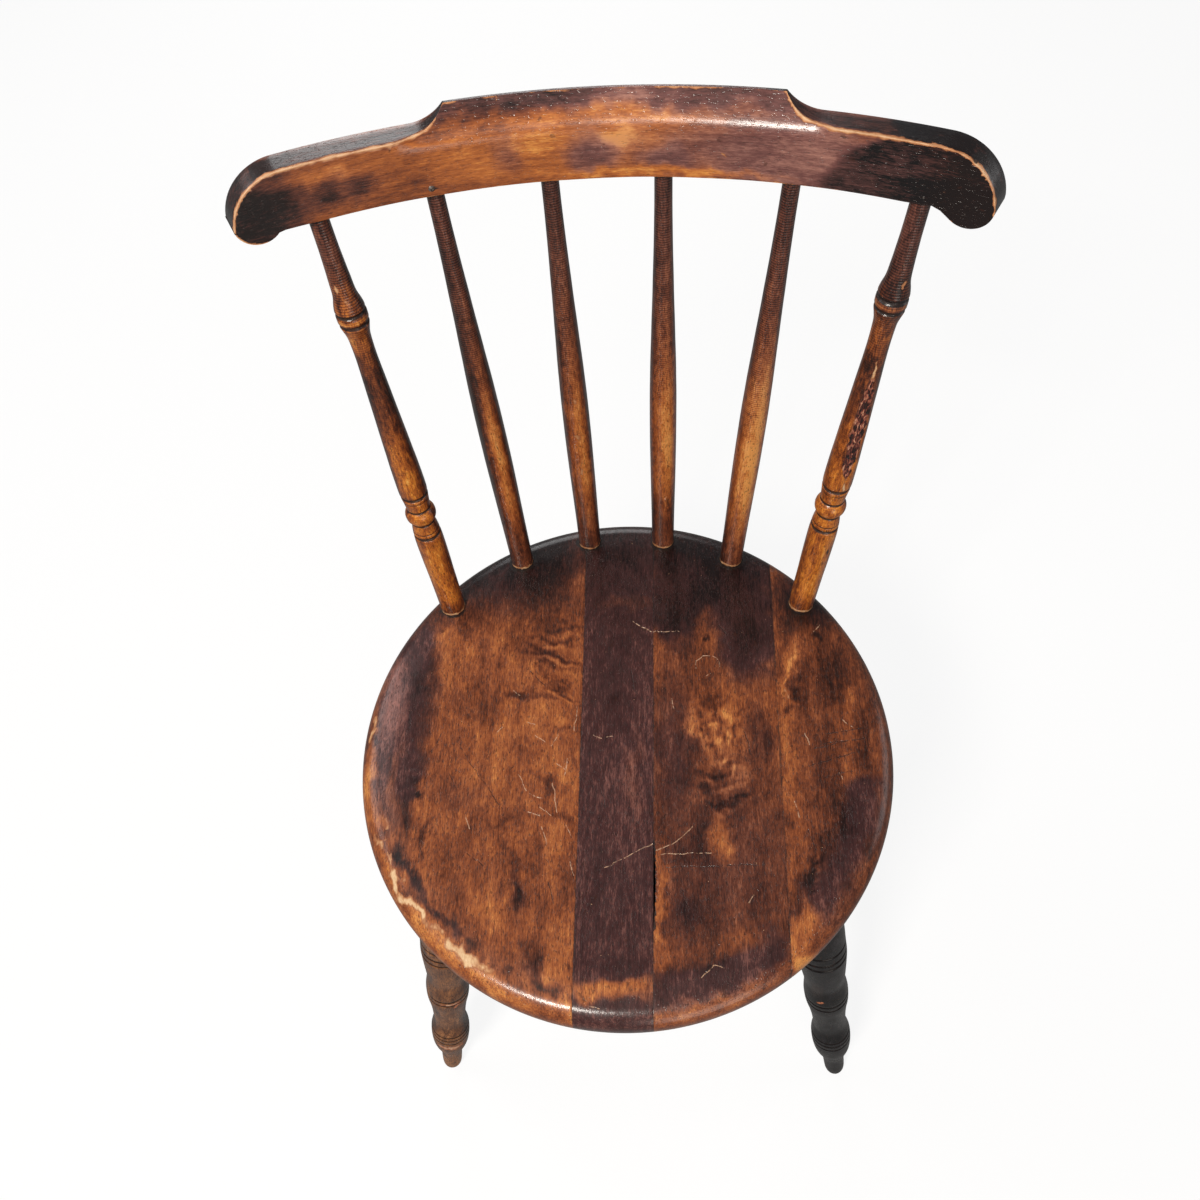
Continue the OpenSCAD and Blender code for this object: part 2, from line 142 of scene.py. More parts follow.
def cut(bm, place, facing, dist, drop=False):
    """Cuts a bmesh at a plane. With drop, the part beyond goes, and new faces close the cut."""
    bmesh.ops.bisect_plane(bm, geom=bm.verts[:] + bm.edges[:] + bm.faces[:], dist=dist,
                           plane_co=place, plane_no=facing, clear_outer=drop)
    if not drop:
        return []
    rim = [e for e in bm.edges if e.is_boundary]
    return bmesh.ops.contextual_create(bm, geom=rim)["faces"]


def ease(bm, edges, width, segments):
    """Rounds these edges over."""
    bmesh.ops.bevel(bm, geom=edges, offset=width, segments=segments, profile=0.5,
                    affect="EDGES", material=-1, clamp_overlap=True)


def places_of(bm):
    """Vertex positions in mm, one row each."""
    return np.array([v.co for v in bm.verts]) / MM


def put(name, data):
    """A new object in the scene."""
    made = bpy.data.objects.new(name, data)
    bpy.context.scene.collection.objects.link(made)
    return made


def put_mesh(bm, name, material):
    """A new object from a finished bmesh."""
    mesh = bpy.data.meshes.new(name)
    bm.to_mesh(mesh)
    bm.free()
    mesh.polygons.foreach_set("use_smooth", [True] * len(mesh.polygons))
    mesh.materials.append(material)
    return put(name, mesh)


def piece(bm, name, material, node_name):
    """Makes a piece from its bmesh, which stands for a CAD node."""
    made = put_mesh(bm, name, material)
    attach(made, "root")
    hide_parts(node_name)


# ---- wood ----

def strokes_distance(tree, place, strokes):
    """Distance in mm from the nearest of the straight strokes (x1, y1, x2, y2)."""
    nearest = None
    for x1, y1, x2, y2 in strokes:
        run = Vector((x2 - x1, y2 - y1, 0))
        start = Vector((x1, y1, 0))
        unit = run / run.length_squared
        dot = node(tree, "VectorMath", {0: place, 1: unit}, operation="DOT_PRODUCT")
        part = node(tree, "Math", {0: dot.outputs["Value"], 1: -start.dot(unit)},
                    operation="ADD", use_clamp=True)
        foot = node(tree, "VectorMath", {0: part.outputs[0], 1: run, 2: start},
                    operation="MULTIPLY_ADD")
        gap = node(tree, "VectorMath", {0: place, 1: foot.outputs[0]}, operation="DISTANCE")
        gap = gap.outputs["Value"]
        if nearest:
            gap = node(tree, "Math", {0: nearest, 1: gap}, operation="MINIMUM").outputs[0]
        nearest = gap
    return nearest


def varnished_wood(name, browns, plums, clouds, contrast, mottling=0.5, grain=1.0, ribs=0.0,
                   gloss=0.32, shine=0.32, coat=0.5, coat_rough=0.14, chips=0.5, pores=0.6,
                   rings=None, pale=(), dark=(), raw_and_highlight=("#9a5d38", "#c48c60", "#e8c498")):
    """Stained beech or birch under old shellac, rubbed through where hands and feet reach.

    It is a satin surface: a soft base under a thin clear coat. browns and plums are the
    colours of the stain, its darkest and lightest first, then those between. clouds is the
    size of its uneven patches across and along the grain, which runs along z of the lay
    layer. Sizes are in mm. Fibres and pores are drawn about three times as coarse as real
    ones, which are too fine to show.
    """
    material = bpy.data.materials.new(name)
    tree = empty_tree(material)
    mask = {m: node(tree, "Attribute", attribute_name=m).outputs["Fac"] for m in MASKS}
    lay = node(tree, "Attribute", attribute_name="lay").outputs["Vector"]
    mm = node(tree, "VectorMath", {0: lay, "Scale": 1000}, operation="SCALE").outputs[0]

    def field(across, along, detail=2, distortion=0.0, shift=0.0, rough=0.5):
        """Noise whose features have this size in mm."""
        size = (1 / across, 1 / across, 1 / along)
        scaled = node(tree, "VectorMath", {0: mm, 1: size, 2: (shift, shift, shift)},
                      operation="MULTIPLY_ADD").outputs[0]
        return node(tree, "TexNoise", {"Vector": scaled, "Scale": 1, "Detail": detail,
                                       "Roughness": rough,
                                       "Distortion": distortion}).outputs["Fac"]

    def total(start, *shares):
        """The start plus each part times its share."""
        for part, share in shares:
            start = node(tree, "Math", {0: part, 1: share, 2: start},
                         operation="MULTIPLY_ADD").outputs[0]
        return start

    def cover(under, over, value, low, high, most=1.0):
        """Lays one colour over another as a value goes from low to high, and says where."""
        where = node(tree, "MapRange", {0: value, 1: low, 2: high},
                     interpolation_type="SMOOTHSTEP").outputs[0]
        mixed = node(tree, "Mix", {0: total(0, (where, most)), 6: under, 7: over},
                     data_type="RGBA")
        return mixed.outputs[2], where

    # Stain taken unevenly, mottling, year rings, fibres
    cloud = field(*clouds, detail=6, distortion=0.7, rough=0.6)
    mottle = field(3.6, 6, detail=5, distortion=0.6, shift=17, rough=0.65)
    streak = field(1.8, 60, detail=3, distortion=0.2, shift=7)
    fibre = field(0.7, 5, detail=3, shift=13, rough=0.7)
    shares = ((cloud, contrast * 1.5), (mottle, mottling), (streak, 0.4), (fibre, grain))
    level = total(0.5 - sum(share for _, share in shares) / 2, (mask["tone"], 1), *shares)
    if ribs:
        # Fine ribs left by the turning tool, 1.7 mm apart, where the figure mask is
        turning = node(tree, "VectorMath", {0: mm, 1: (0.02, 0.02, 1 / 1.7)},
                       operation="MULTIPLY").outputs[0]
        rib = node(tree, "TexWave", {"Vector": turning, "Scale": 0.32, "Distortion": 1.2,
                                     "Detail": 2, "Detail Scale": 3},
                   bands_direction="Z").outputs["Fac"]
        rib = total(0, (total(-0.5, (rib, 1)), total(0.25, (mask["figure"], 1))))
        level = total(level, (rib, ribs))
    else:
        # Flame figure: slanting year rings show as nested loops
        loops = node(tree, "Math", {0: total(0, (field(24, 42, shift=29), 46))},
                     operation="SINE").outputs[0]
        level = total(level, (total(0, (loops, 0.16)), mask["figure"]))
    if rings:
        cx, cz, sx, sz, strength = rings
        placed = node(tree, "VectorMath", {0: mm, 1: (1 / sx, 0.0, 1 / sz),
                                           2: (-cx / sx, 0.0, -cz / sz)},
                      operation="MULTIPLY_ADD").outputs[0]
        flame = node(tree, "TexWave", {"Vector": placed, "Scale": 0.16, "Distortion": 4.5,
                                       "Detail": 3, "Detail Scale": 0.7},
                     wave_type="RINGS", rings_direction="Y").outputs["Fac"]
        level = total(-strength / 2, (level, 1), (flame, strength))
    brown = node(tree, "ValToRGB", {"Fac": level},
                 stops=list(zip((0.0, 1.0, 0.25, 0.5, 0.75), browns))).outputs["Color"]
    plum = node(tree, "ValToRGB", {"Fac": level},
                stops=list(zip((0.0, 1.0, 0.5), plums))).outputs["Color"]
    colour, _ = cover(brown, plum, mask["plum"], 0, 1)

    # Pores, small dark bruises and pale chips
    colour, pore = cover(colour, linear("#2e170f"), field(0.8, 3.2, detail=1, shift=3),
                         0.6, 0.68, pores)
    colour, _ = cover(colour, linear("#3a1c12"), field(4, 6, detail=4, shift=23), 0.64, 0.7, 0.5)
    colour, _ = cover(colour, linear("#dcae88"), field(1.3, 1.6, shift=37), 0.765, 0.78, chips)

    # Scratches, bent a little by noise
    wander = node(tree, "TexNoise", {"Vector": mm, "Scale": 0.12, "Detail": 3})
    bent = node(tree, "VectorMath", {0: wander.outputs["Color"], 1: (3.4, 0, 3.4),
                                     2: (-1.7, 0, -1.7)}, operation="MULTIPLY_ADD").outputs[0]
    bent = node(tree, "VectorMath", {0: mm, 1: bent}, operation="ADD").outputs[0]
    axes = node(tree, "SeparateXYZ", {0: bent})
    flat = node(tree, "CombineXYZ", {0: axes.outputs[0], 1: axes.outputs[2]}).outputs[0]
    patchy = node(tree, "MapRange", {0: field(2.2, 2.2, shift=31), 1: 0.34, 2: 0.56},
                  interpolation_type="SMOOTHSTEP").outputs[0]
    scratches = []
    for strokes, code, width in ((pale, "#cba283", 0.42), (dark, "#26120c", 0.5)):
        if strokes:
            line = node(tree, "MapRange", {0: strokes_distance(tree, flat, strokes),
                                           1: width * 0.45, 2: width, 3: 1, 4: 0},
                        interpolation_type="SMOOTHSTEP").outputs[0]
            line = total(0, (line, patchy))
            colour = node(tree, "Mix", {0: total(0, (line, 0.75)), 6: colour, 7: linear(code)},
                          data_type="RGBA").outputs[2]
            scratches.append(line)

    # Varnish and stain worn through: copper rim, then pale raw wood; the same mask also paints a
    # highlight pale
    edge = field(3.5, 6, detail=4, shift=41)
    worn_and_highlit = total(-0.55, (edge, 1.1), (mask["wear"], 1))
    depth = node(tree, "MapRange", {0: worn_and_highlit, 1: 0.38, 2: 0.95},
                 interpolation_type="SMOOTHSTEP").outputs[0]
    raw_wood_and_highlight = node(tree, "ValToRGB", {"Fac": depth},
                    stops=[(0.0, raw_and_highlight[0]), (1.0, raw_and_highlight[2]), (0.45, raw_and_highlight[1])]).outputs["Color"]
    raw_wood_and_highlight, _ = cover(raw_wood_and_highlight, linear("#a9714a"), fibre, 0.4, 0.7, 0.4)
    colour, bare_and_highlit = cover(colour, raw_wood_and_highlight, worn_and_highlit, 0.36, 0.5)

    # Torn wood in a gouge
    tear = field(1.6, 4.5, detail=4, distortion=0.8, shift=53)
    torn = node(tree, "ValToRGB", {"Fac": tear}, stops=[
        (0.4, "#120806"), (0.74, "#f0bd98"), (0.5, "#55211a"), (0.6, "#a8604a")])
    colour, scarred = cover(colour, torn.outputs["Color"],
                            total(-0.25, (tear, 0.5), (mask["scar"], 1)), 0.4, 0.55)

    # Grime in grooves and joints, and painted shadows laid with the same mask
    grime_and_shadow = total(-0.25, (field(3, 6, detail=3, shift=61), 0.5), (mask["dirt"], 1))
    colour, grimy_and_shadowed = cover(colour, linear("#1b1413"), grime_and_shadow, 0.3, 0.75, 0.92)

    height = total(0, (pore, -0.5), (fibre, 0.35), (cloud, 0.9), (edge, 0.25), (bare_and_highlit, -0.35),
                   (scarred, total(0, (tear, 6))))
    if scratches:
        deepest = node(tree, "Math", {0: scratches[0], 1: scratches[-1]}, operation="MAXIMUM")
        height = total(height, (deepest.outputs[0], -0.8))
    if ribs:
        height = total(height, (rib, ribs * 2.4))
    bump = node(tree, "Bump", {"Height": height, "Distance": 0.0003, "Strength": 0.55})

    rough = total(gloss - 0.15, (field(9, 16, detail=4, shift=71), 0.3), (fibre, 0.08),
                  (bare_and_highlit, 0.3), (scarred, 0.4))
    rough = node(tree, "Math", {0: grimy_and_shadowed, 1: 0.15, 2: rough}, operation="MULTIPLY_ADD",
                 use_clamp=True).outputs[0]
    shader = node(tree, "BsdfPrincipled", {"Base Color": colour, "Roughness": rough,
                                           "Normal": bump.outputs[0], "IOR": 1.5,
                                           "Specular IOR Level": shine,
                                           "Coat Weight": coat, "Coat Roughness": coat_rough,
                                           "Coat Normal": bump.outputs[0]})
    node(tree, "OutputMaterial", {"Surface": shader.outputs[0]})
    return material


# ---- turned pieces ----

SAWN_OFF = 6  # a leg is spun this much too long, in mm, and sawn level with the floor


def axis_of(name, skip=0):
    """Both ends of a turned node's axis, from its own solid, without skip mm at the low end."""
    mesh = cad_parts[name].data
    mesh.calc_loop_triangles()
    points = np.empty(len(mesh.vertices) * 3)
    mesh.vertices.foreach_get("co", points)
    points = points.reshape(-1, 3)
    corners = np.empty(len(mesh.loop_triangles) * 3, dtype=np.int32)
    mesh.loop_triangles.foreach_get("vertices", corners)
    a, b, c = (points[corners.reshape(-1, 3)[:, k]] for k in range(3))
    volume = np.einsum("ij,ij->i", a, np.cross(b, c)) / 6
    total = a + b + c
    centre = (volume[:, None] * total).sum(0) / 4 / volume.sum()
    second = sum(np.einsum("i,ij,ik->jk", volume / 20, p, p) for p in (a, b, c, total))
    spread = second / volume.sum() - np.outer(centre, centre)
    run = np.linalg.eigh(spread)[1][:, 2]
    run = run * np.sign(run[np.argmax(np.abs(run))])
    reach = (points - centre) @ run
    low, high = Vector(centre + run * reach.min()), Vector(centre + run * reach.max())
    return low + (high - low).normalized() * skip * MM, high


def outline_at(stations, z):
    """Radius of the smooth outline through stations of (place, radius), in mm."""
    last = len(stations) - 1
    if z <= stations[0][0]:
        return stations[0][1]
    for i in range(last):
        (z0, r0), (z1, r1) = stations[i], stations[i + 1]
        if z <= z1:
            before = stations[max(i - 1, 0)]
            after = stations[min(i + 2, last)]
            w = z1 - z0
            u = (z - z0) / w
            m0 = (r1 - before[1]) / (z1 - before[0]) * w
            m1 = (after[1] - r0) / (after[0] - z0) * w
            near = 2 * u ** 3 - 3 * u ** 2 + 1
            bend = (u ** 3 - 2 * u ** 2 + u) * m0 + (u ** 3 - u ** 2) * m1
            return near * r0 + (1 - near) * r1 + bend
    return stations[last][1]


def turned(name, node_name, material, stations, foot, top, grooves, marks, facets,
           step, seed, shape=None):
    """A piece spun on the lathe through its stations (place, radius), from foot towards top.

    Places are in mm from foot. Groove = (place, depth, half width). shape(angle, z) gives
    how deep the surface is cut there. Marks use degrees from the front, rightwards.
    """
    z_axis = (top - foot).normalized()
    y_axis = Vector((0, 1, 0)) if abs(z_axis.y) < 0.8 else Vector((0, 0, 1))
    y_axis = (y_axis - z_axis * y_axis.dot(z_axis)).normalized()
    x_axis = y_axis.cross(z_axis)
    placing = Matrix((x_axis, y_axis, z_axis)).transposed().to_4x4()
    placing.translation = foot

    low, high = stations[0][0], stations[-1][0]
    count = round((high - low) / step)
    places = [low + (high - low) * i / count for i in range(count + 1)]
    for at, depth, half in grooves:
        places += [at - half, at - half * 0.5, at, at + half * 0.5, at + half]
    places = sorted(p for p in set(places) if low <= p <= high)
    profile = [(0, 0, places[0])]
    for z in places:
        sunk = max([d * max(0, 1 - ((z - at) / half) ** 2) for at, d, half in grooves] + [0])
        profile.append((0, sunk - outline_at(stations, z), z))
    bm = spun(profile + [(0, 0, places[-1])], facets)

    at_rest = places_of(bm)
    x, y, z = ragged(at_rest, 7, 1.6).T
    angle = np.degrees(np.arctan2(x, -y))
    masks = marks_at(angle, z, marks)
    narrow = [mark for mark in marks if mark[3] < 180]
    for wrapped in (angle - 360, angle + 360):
        for key, value in marks_at(wrapped, z, narrow).items():
            masks[key] += value
    height = at_rest[:, 2]
    for at, depth, half in grooves:
        near = np.clip(1 - ((height - at) / (half * 1.15)) ** 2, 0, 1)
        masks["dirt"] += 1.1 * near * min(1, depth * 2)
    for vert, place in zip(bm.verts, at_rest):
        radius = math.hypot(place[0], place[1])
        if radius > 0:
            at = (place[0] * 0.06, place[1] * 0.06, place[2] * 0.014 + seed)
            deep = shape(math.degrees(math.atan2(place[0], -place[1])), place[2]) if shape else 0
            swell = 1 + 0.012 * noise.noise(Vector(at)) - deep / radius
            vert.co.x *= swell
            vert.co.y *= swell
    paint(bm, (at_rest + (seed * 13, 0, seed * 70)) * MM, masks)
    bmesh.ops.transform(bm, matrix=placing, verts=bm.verts)
    if low == -SAWN_OFF:
        cut(bm, (0, 0, 0), (0, 0, -1), 1e-7, drop=True)
    piece(bm, name, material, node_name)


SEAT_TILT = math.radians(2)
SEAT_SLOPE = Euler((-SEAT_TILT, 0, 0)).to_matrix()
board_boxes = [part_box("seat_board_" + n) for n in ("left", "dark", "middle", "right")]
# Middle of the seat's rim plane: the seat rocks 2 degrees about it
seat_low = Vector([min(b[0][k] for b in board_boxes) for k in range(3)])
seat_high = Vector([max(b[1][k] for b in board_boxes) for k in range(3)])
SEAT_R = (seat_high.x - seat_low.x) / 2 / MM
SEAT_T = 32
EDGE_R = 14
DISH_R, DISH_DEPTH = 165, 4
CREST, CREST_R = 1.3, 152  # how far the rim is worn down, and from which radius
FLAT_R = SEAT_R - EDGE_R
seat_lift = FLAT_R * math.sin(SEAT_TILT) - EDGE_R * math.cos(SEAT_TILT) + EDGE_R
seat_back = FLAT_R * math.cos(SEAT_TILT) - EDGE_R * math.sin(SEAT_TILT) + EDGE_R
SEAT_AT = Vector(((seat_low.x + seat_high.x) / 2, seat_high.y - seat_back * MM,
                  seat_high.z - seat_lift * MM))
SEAMS = [box[1][0] / MM for box in board_boxes[:3]]

POST_PLUMS = ("#1d1010", "#ac7a68", "#6e4136")
post_wood = varnished_wood("stained_beech_posts",
                           ("#220e07", "#f4b860", "#632f16", "#a65a26", "#d98430"),
                           POST_PLUMS, clouds=(8, 22), contrast=0.75, ribs=0.26, coat=0.6)
stick_wood = varnished_wood("stained_beech_sticks",
                            ("#1e0c07", "#eca65c", "#562814", "#974f27", "#c8773a"),
                            POST_PLUMS, clouds=(8, 40), contrast=0.55, mottling=0.4, ribs=0.3,
                            coat=0.6)
# Its plums are bluish black: on the right-hand legs they paint shade
leg_wood = varnished_wood("stained_beech_legs",
                          ("#120a07", "#c88a5a", "#3c2417", "#68422c", "#95623e"),
                          ("#040304", "#403c42", "#100e10"), clouds=(12, 30), contrast=0.85,
                          ribs=0.2, gloss=0.26, shine=0.15, coat=0.25,
                          raw_and_highlight=("#a85c40", "#d08a68", "#eec6a6"))
hidden_wood = varnished_wood("stained_beech_underneath",
                             ("#2a1a12", "#c49a6c", "#5a3a26", "#80583a", "#a2764e"),
                             POST_PLUMS, clouds=(14, 40), contrast=0.45, ribs=0.1, gloss=0.5,
                             coat=0)

FOOT_TENON = 20
SUNK = 8  # how far a spindle's turned piece goes on into the seat, in mm
# Where the varnish stops at the seat: grime, then a bare ring
FOOT_MARKS = bands("dirt", (-2, 3, 0.9)) + spots("wear", (10, 0.6, ALL_ROUND, 1.8, 0.75))
POST = [
    (-SUNK, 9.1), (0, 9.15), (40, 9.4), (60, 9.75), (85, 9.85), (94, 9.5), (100, 9.0),
    (105, 8.3), (108, 8.3), (109.6, 9.3), (111.5, 10.2), (114, 10.5), (116.5, 10.2),
    (118.4, 9.3), (120, 8.3), (123, 8.3), (129, 8.8), (135, 9.4), (142, 9.6), (160, 9.3),
    (172, 8.9), (186, 8.5), (198, 8.1), (210, 7.7), (222, 7.35), (234, 6.95), (246, 6.55),
    (258, 6.37), (270, 6.6), (274, 7.0), (278, 7.9), (282, 8.8), (286.5, 9.05), (292, 8.85),
    (296, 8.2), (300, 7.2), (304, 6.65), (309, 6.35), (315, 6.05), (322, 5.8), (330, 5.55),
    (345, 5.4), (368, 5.3)]
POST_GROOVES = [(94, 1.1, 1.9), (135, 1.1, 1.9), (107, 0.5, 1.3), (121, 0.5, 1.3),
                (283, 1.1, 1.7), (290.5, 1.1, 1.7), (98.5, 0.3, 0.8), (130, 0.3, 0.8)]
GOUGE_ANGLE, GOUGE_Z = 10, 191


def gouge(angle, z):
    """Depth of the long lens-shaped tear in the right post, in mm."""
    along = (z - GOUGE_Z) / 50
    if abs(along) >= 1:
        return 0
    # It leans a little, and narrows to a point at both ends
    across = (angle - GOUGE_ANGLE + 8 * along) / (36 * (1 - along * along) ** 0.8 + 0.1)
    if abs(across) >= 1:
        return 0
    rough = noise.noise(Vector((angle * 0.09, z * 0.35, 3.1))) * 0.8
    depth = 1.5 * (1 - across * across) * (1 - along ** 4)
    return max(0, depth + rough * min(1, depth))


for side, lower, seed in (("left", 3.0, 1), ("right", 0.0, 2)):
    node_name = "back_post_" + side
    foot, top = axis_of(node_name, FOOT_TENON)
    # The left post's rings sit a little lower
    stations = [(z - lower if 80 < z < 150 or 250 < z < 306 else z, r) for z, r in POST]
    grooves = [(z - lower, depth, half) for z, depth, half in POST_GROOVES]
    # Both posts are darker down the right side and lighter just right of the front, which is
    # painted shading; the thin light ring at 286.5, on the bead between its two grooves, is a
    # painted highlight
    marks = (FOOT_MARKS + spots("tone", (20, 50, 90, 60, 0.16), (90, 180, 50, 260, -0.35),
                                (20, 170, 40, 60, 0.12))
             + bands("tone", (114 - lower, 26, 0.12), (240, 50, -0.16), (345, 90, -0.3),
                     (4, 14, -0.25), (215, 60, -0.14), (286.5 - lower, 2, 0.4))
             + bands("plum", (350, 100, 0.4), (230, 80, 0.3)) + bands("figure", (320, 90, 0.9)))
    shape = None
    if side == "left":
        # The left post is darker down its left side, painted shade; of its two pale spots near the
        # top, the one left of the front is worn and the narrow one at 298 is a painted highlight
        marks += (spots("tone", (-72, 190, 50, 150, -0.45)) + bands("tone", (268, 14, 0.18))
                  + spots("wear", (-18, 307, 16, 6, 0.9), (12, 298, 18, 3, 0.7))
                  + bands("plum", (330, 40, 0.4)))
    else:
        # The torn gouge has raw edges at its ends and sides
        marks += (spots("scar", (GOUGE_ANGLE, GOUGE_Z, 40, 52, 2.8, 8))
                  + spots("wear", (14, 141, 10, 6, 0.95), (4, 240, 9, 10, 0.95),
                          (-22, 196, 5, 34, 0.5), (42, 184, 5, 34, 0.5),
                          (10, 362, 30, 5, 0.95, 20), (20, 302, 14, 5, 0.55))
                  + bands("tone", (300, 30, -0.2)) + bands("plum", (330, 70, 0.6))
                  + spots("dirt", (30, 72, 14, 7, 0.7)) + bands("dirt", (287, 7, 0.35)))
        shape = gouge
    turned("turned_post_" + side, node_name, post_wood, stations, foot, top,
           grooves, marks, facets=120 if shape else 80, step=0.9 if shape else 1.2, seed=seed,
           shape=shape)

STICK = [
    (-SUNK, 8.4), (0, 8.4), (25, 8.45), (50, 8.6), (74, 8.8), (99, 8.97), (120, 9.05),
    (136, 9.0), (160, 8.85), (173, 8.7), (185, 8.45), (198, 8.2), (210, 7.85), (222, 7.45),
    (235, 7.1), (247, 6.7), (259, 6.35), (272, 6.05), (284, 5.7), (296, 5.4), (309, 5.15),
    (321, 4.95), (334, 4.85), (364, 4.7)]
# Dark at the foot and towards the rail, ribbed above the middle; darker down both sides with a
# lighter stripe right of the front, which is painted shading
STICK_MARKS = (
    FOOT_MARKS + bands("tone", (360, 230, -0.24), (0, 90, -0.16))
    + bands("plum", (360, 250, 0.8), (0, 100, 0.45)) + bands("figure", (300, 170, 0.9))
    + spots("tone", (88, 160, 45, 300, -0.3), (-76, 160, 56, 300, -0.34),
            (20, 150, 36, 200, 0.24)))
# What each of the four sticks has besides
own_marks = (
    # The first stick is darker on its left and lighter at the front, which is painted shading
    spots("tone", (-40, 190, 60, 190, -0.25), (10, 130, 50, 80, 0.14))
    + bands("tone", (150, 260, -0.1))
    + spots("wear", (8, 76, 9, 14, 0.55, 6), (16, 58, 30, 1.4, 0.5)),

    bands("tone", (150, 260, -0.06)) + spots("tone", (6, 110, 50, 70, 0.14))
    + spots("wear", (4, 172, 12, 5, 0.6), (6, 136, 14, 6, 0.65), (8, 104, 11, 24, 0.62, 4),
            (14, 47, 9, 7, 0.6)),

    bands("tone", (140, 90, 0.18), (36, 30, -0.14))
    + spots("wear", (16, 72, 20, 3, 0.5, 30), (6, 104, 6, 14, 0.3))
    + spots("dirt", (24, 60, 20, 12, 0.6, -20)) + spots("scar", (14, 63, 15, 8, 0.5, 20)),

    bands("tone", (130, 130, 0.32)) + bands("figure", (180, 50, 0.6))
    + spots("wear", (-14, 160, 18, 6, 0.55, 30), (34, 165, 8, 3, 0.7), (0, 132, 12, 5, 0.35)))
for number, marks in enumerate(own_marks, 1):
    node_name = "back_stick_%d" % number
    foot, top = axis_of(node_name, FOOT_TENON)
    turned("turned_stick_%d" % number, node_name, stick_wood, STICK, foot,
           top, (), STICK_MARKS + marks, facets=64, step=1.6, seed=2 + number)

LEG_TOP_R = 12.4
# Places on a leg are mm above the floor
LEGS = {
    "front": [
        (0, 7.2), (2, 8.2), (7, 9.0), (16, 9.4), (30, 9.7), (42, 10.2), (50, 11.4), (57, 13.1),
        (65, 14.9), (73, 16.2), (82, 17.0), (92, 17.4), (103, 17.4), (112, 16.9), (119, 15.9),
        (125, 15.0), (131, 14.4), (140, 14.4), (155, 15.0), (168, 15.9), (178, 16.8),
        (187, 17.8), (195, 18.3), (209, 18.4), (217, 17.9), (226, 17.1), (235, 16.6),
        (250, 17.5), (264, 18.4), (278, 19.2), (290, 19.7), (303, 19.5), (335, 18.9),
        (375, 16.2), (410, 12.8), (440, 12.5)],
    "back": [
        (0, 8.6), (3, 9.6), (30, 10.8), (60, 12.4), (100, 14.4), (150, 16.2), (230, 17.0),
        (300, 16.9), (345, 16.0), (385, 13.9), (415, 12.6), (440, 12.5)],
}
LEG_GROOVES = {
    "front": [(98, 0.9, 1.6), (106, 0.9, 1.6), (113, 0.6, 1.4), (200, 1.0, 1.7),
              (208, 1.0, 1.7), (291, 1.0, 1.8), (300, 1.0, 1.8), (313, 0.7, 1.5)],
    "back": [(100, 0.7, 1.4), (107, 0.7, 1.4), (290, 0.7, 1.4), (297, 0.7, 1.4)],
}
leg_marks = {
    ("front", "left"):
        spots("wear", (0, 88, 75, 7, 0.8), (10, 204, 34, 3, 1.0), (30, 197, 24, 5, 0.6, 20),
              (0, 2, 300, 4, 0.4))
        + bands("tone", (20, 40, 0.2))
        # Darker down both sides: painted shading
        + spots("tone", (0, 160, 300, 420, 0.12), (110, 180, 70, 260, -0.5),
                (-110, 180, 60, 260, -0.5)),
    ("front", "right"):
        # Near black all over from the leg's bluish black plums: painted shade
        bands("tone", (200, 300, -0.1)) + bands("plum", (150, 600, 1.15))
        + spots("plum", (-30, 240, 50, 34, -0.35))
        + spots("wear", (-16, 217, 20, 3, 0.55, 10), (0, 2, 300, 4, 0.35)),
    ("back", "left"): spots("wear", (0, 3, 300, 6, 0.5)) + bands("tone", (40, 60, 0.12)),
    ("back", "right"): spots("wear", (0, 3, 300, 6, 0.5)) + bands("tone", (60, 80, 0.1))
                       # Somewhat darker from the same plums: painted shade, to go with the front
                       # leg
                       + bands("plum", (150, 600, 0.4)),
}
for (row, side), marks in leg_marks.items():
    node_name = "%s_leg_%s" % (row, side)
    foot, top = axis_of(node_name)
    up = (top - foot).normalized()
    ground = foot - up * (foot.z / up.z)
    reach = (top - ground).length / MM - 2
    stations = [(-SAWN_OFF, LEGS[row][0][1])] + [s for s in LEGS[row] if s[0] < reach]
    # The socket under the seat has gathered grime
    marks = marks + bands("dirt", (reach - 19, 5, 0.7))
    turned("turned_%s_leg_%s" % (row, side), node_name, leg_wood,
           stations + [(reach, LEG_TOP_R)], ground, top, LEG_GROOVES[row], marks, facets=88,
           step=1.7, seed=7 + len(node_name) + (side == "left"))

BELLY = 11.5  # radius of a stretcher's middle
for node_name, tenon, seed in (
        ("side_stretcher_left", 7.5, 21), ("side_stretcher_right", 7.5, 22),
        ("cross_stretcher_front", 6, 23), ("cross_stretcher_back", 6, 24)):
    foot, top = axis_of(node_name)
    length = (top - foot).length / MM
    middle = length / 2
    half = [(0, tenon), (26, tenon), (51, (tenon + BELLY) / 2), (71, BELLY - 0.7)]
    stations = half + [(middle, BELLY)] + [(length - z, r) for z, r in reversed(half)]
    turned("turned_" + node_name, node_name, hidden_wood, stations, foot,
           top, [(middle - 3, 0.6, 1.3), (middle + 3, 0.6, 1.3)],
           spots("wear", (0, middle, 120, 60, 0.25)), facets=56, step=1.8, seed=seed)


# ---- seat ----

def around_rim(mask, radius, first, last, step, half, amount):
    """Marks that follow the seat's rim, between two angles from the right-hand side."""
    along = radius * math.radians(step) * 0.9
    return spots(mask, *((radius * math.cos(math.radians(a)), radius * math.sin(math.radians(a)),
                          half, along, amount, a) for a in range(first, last, step)))


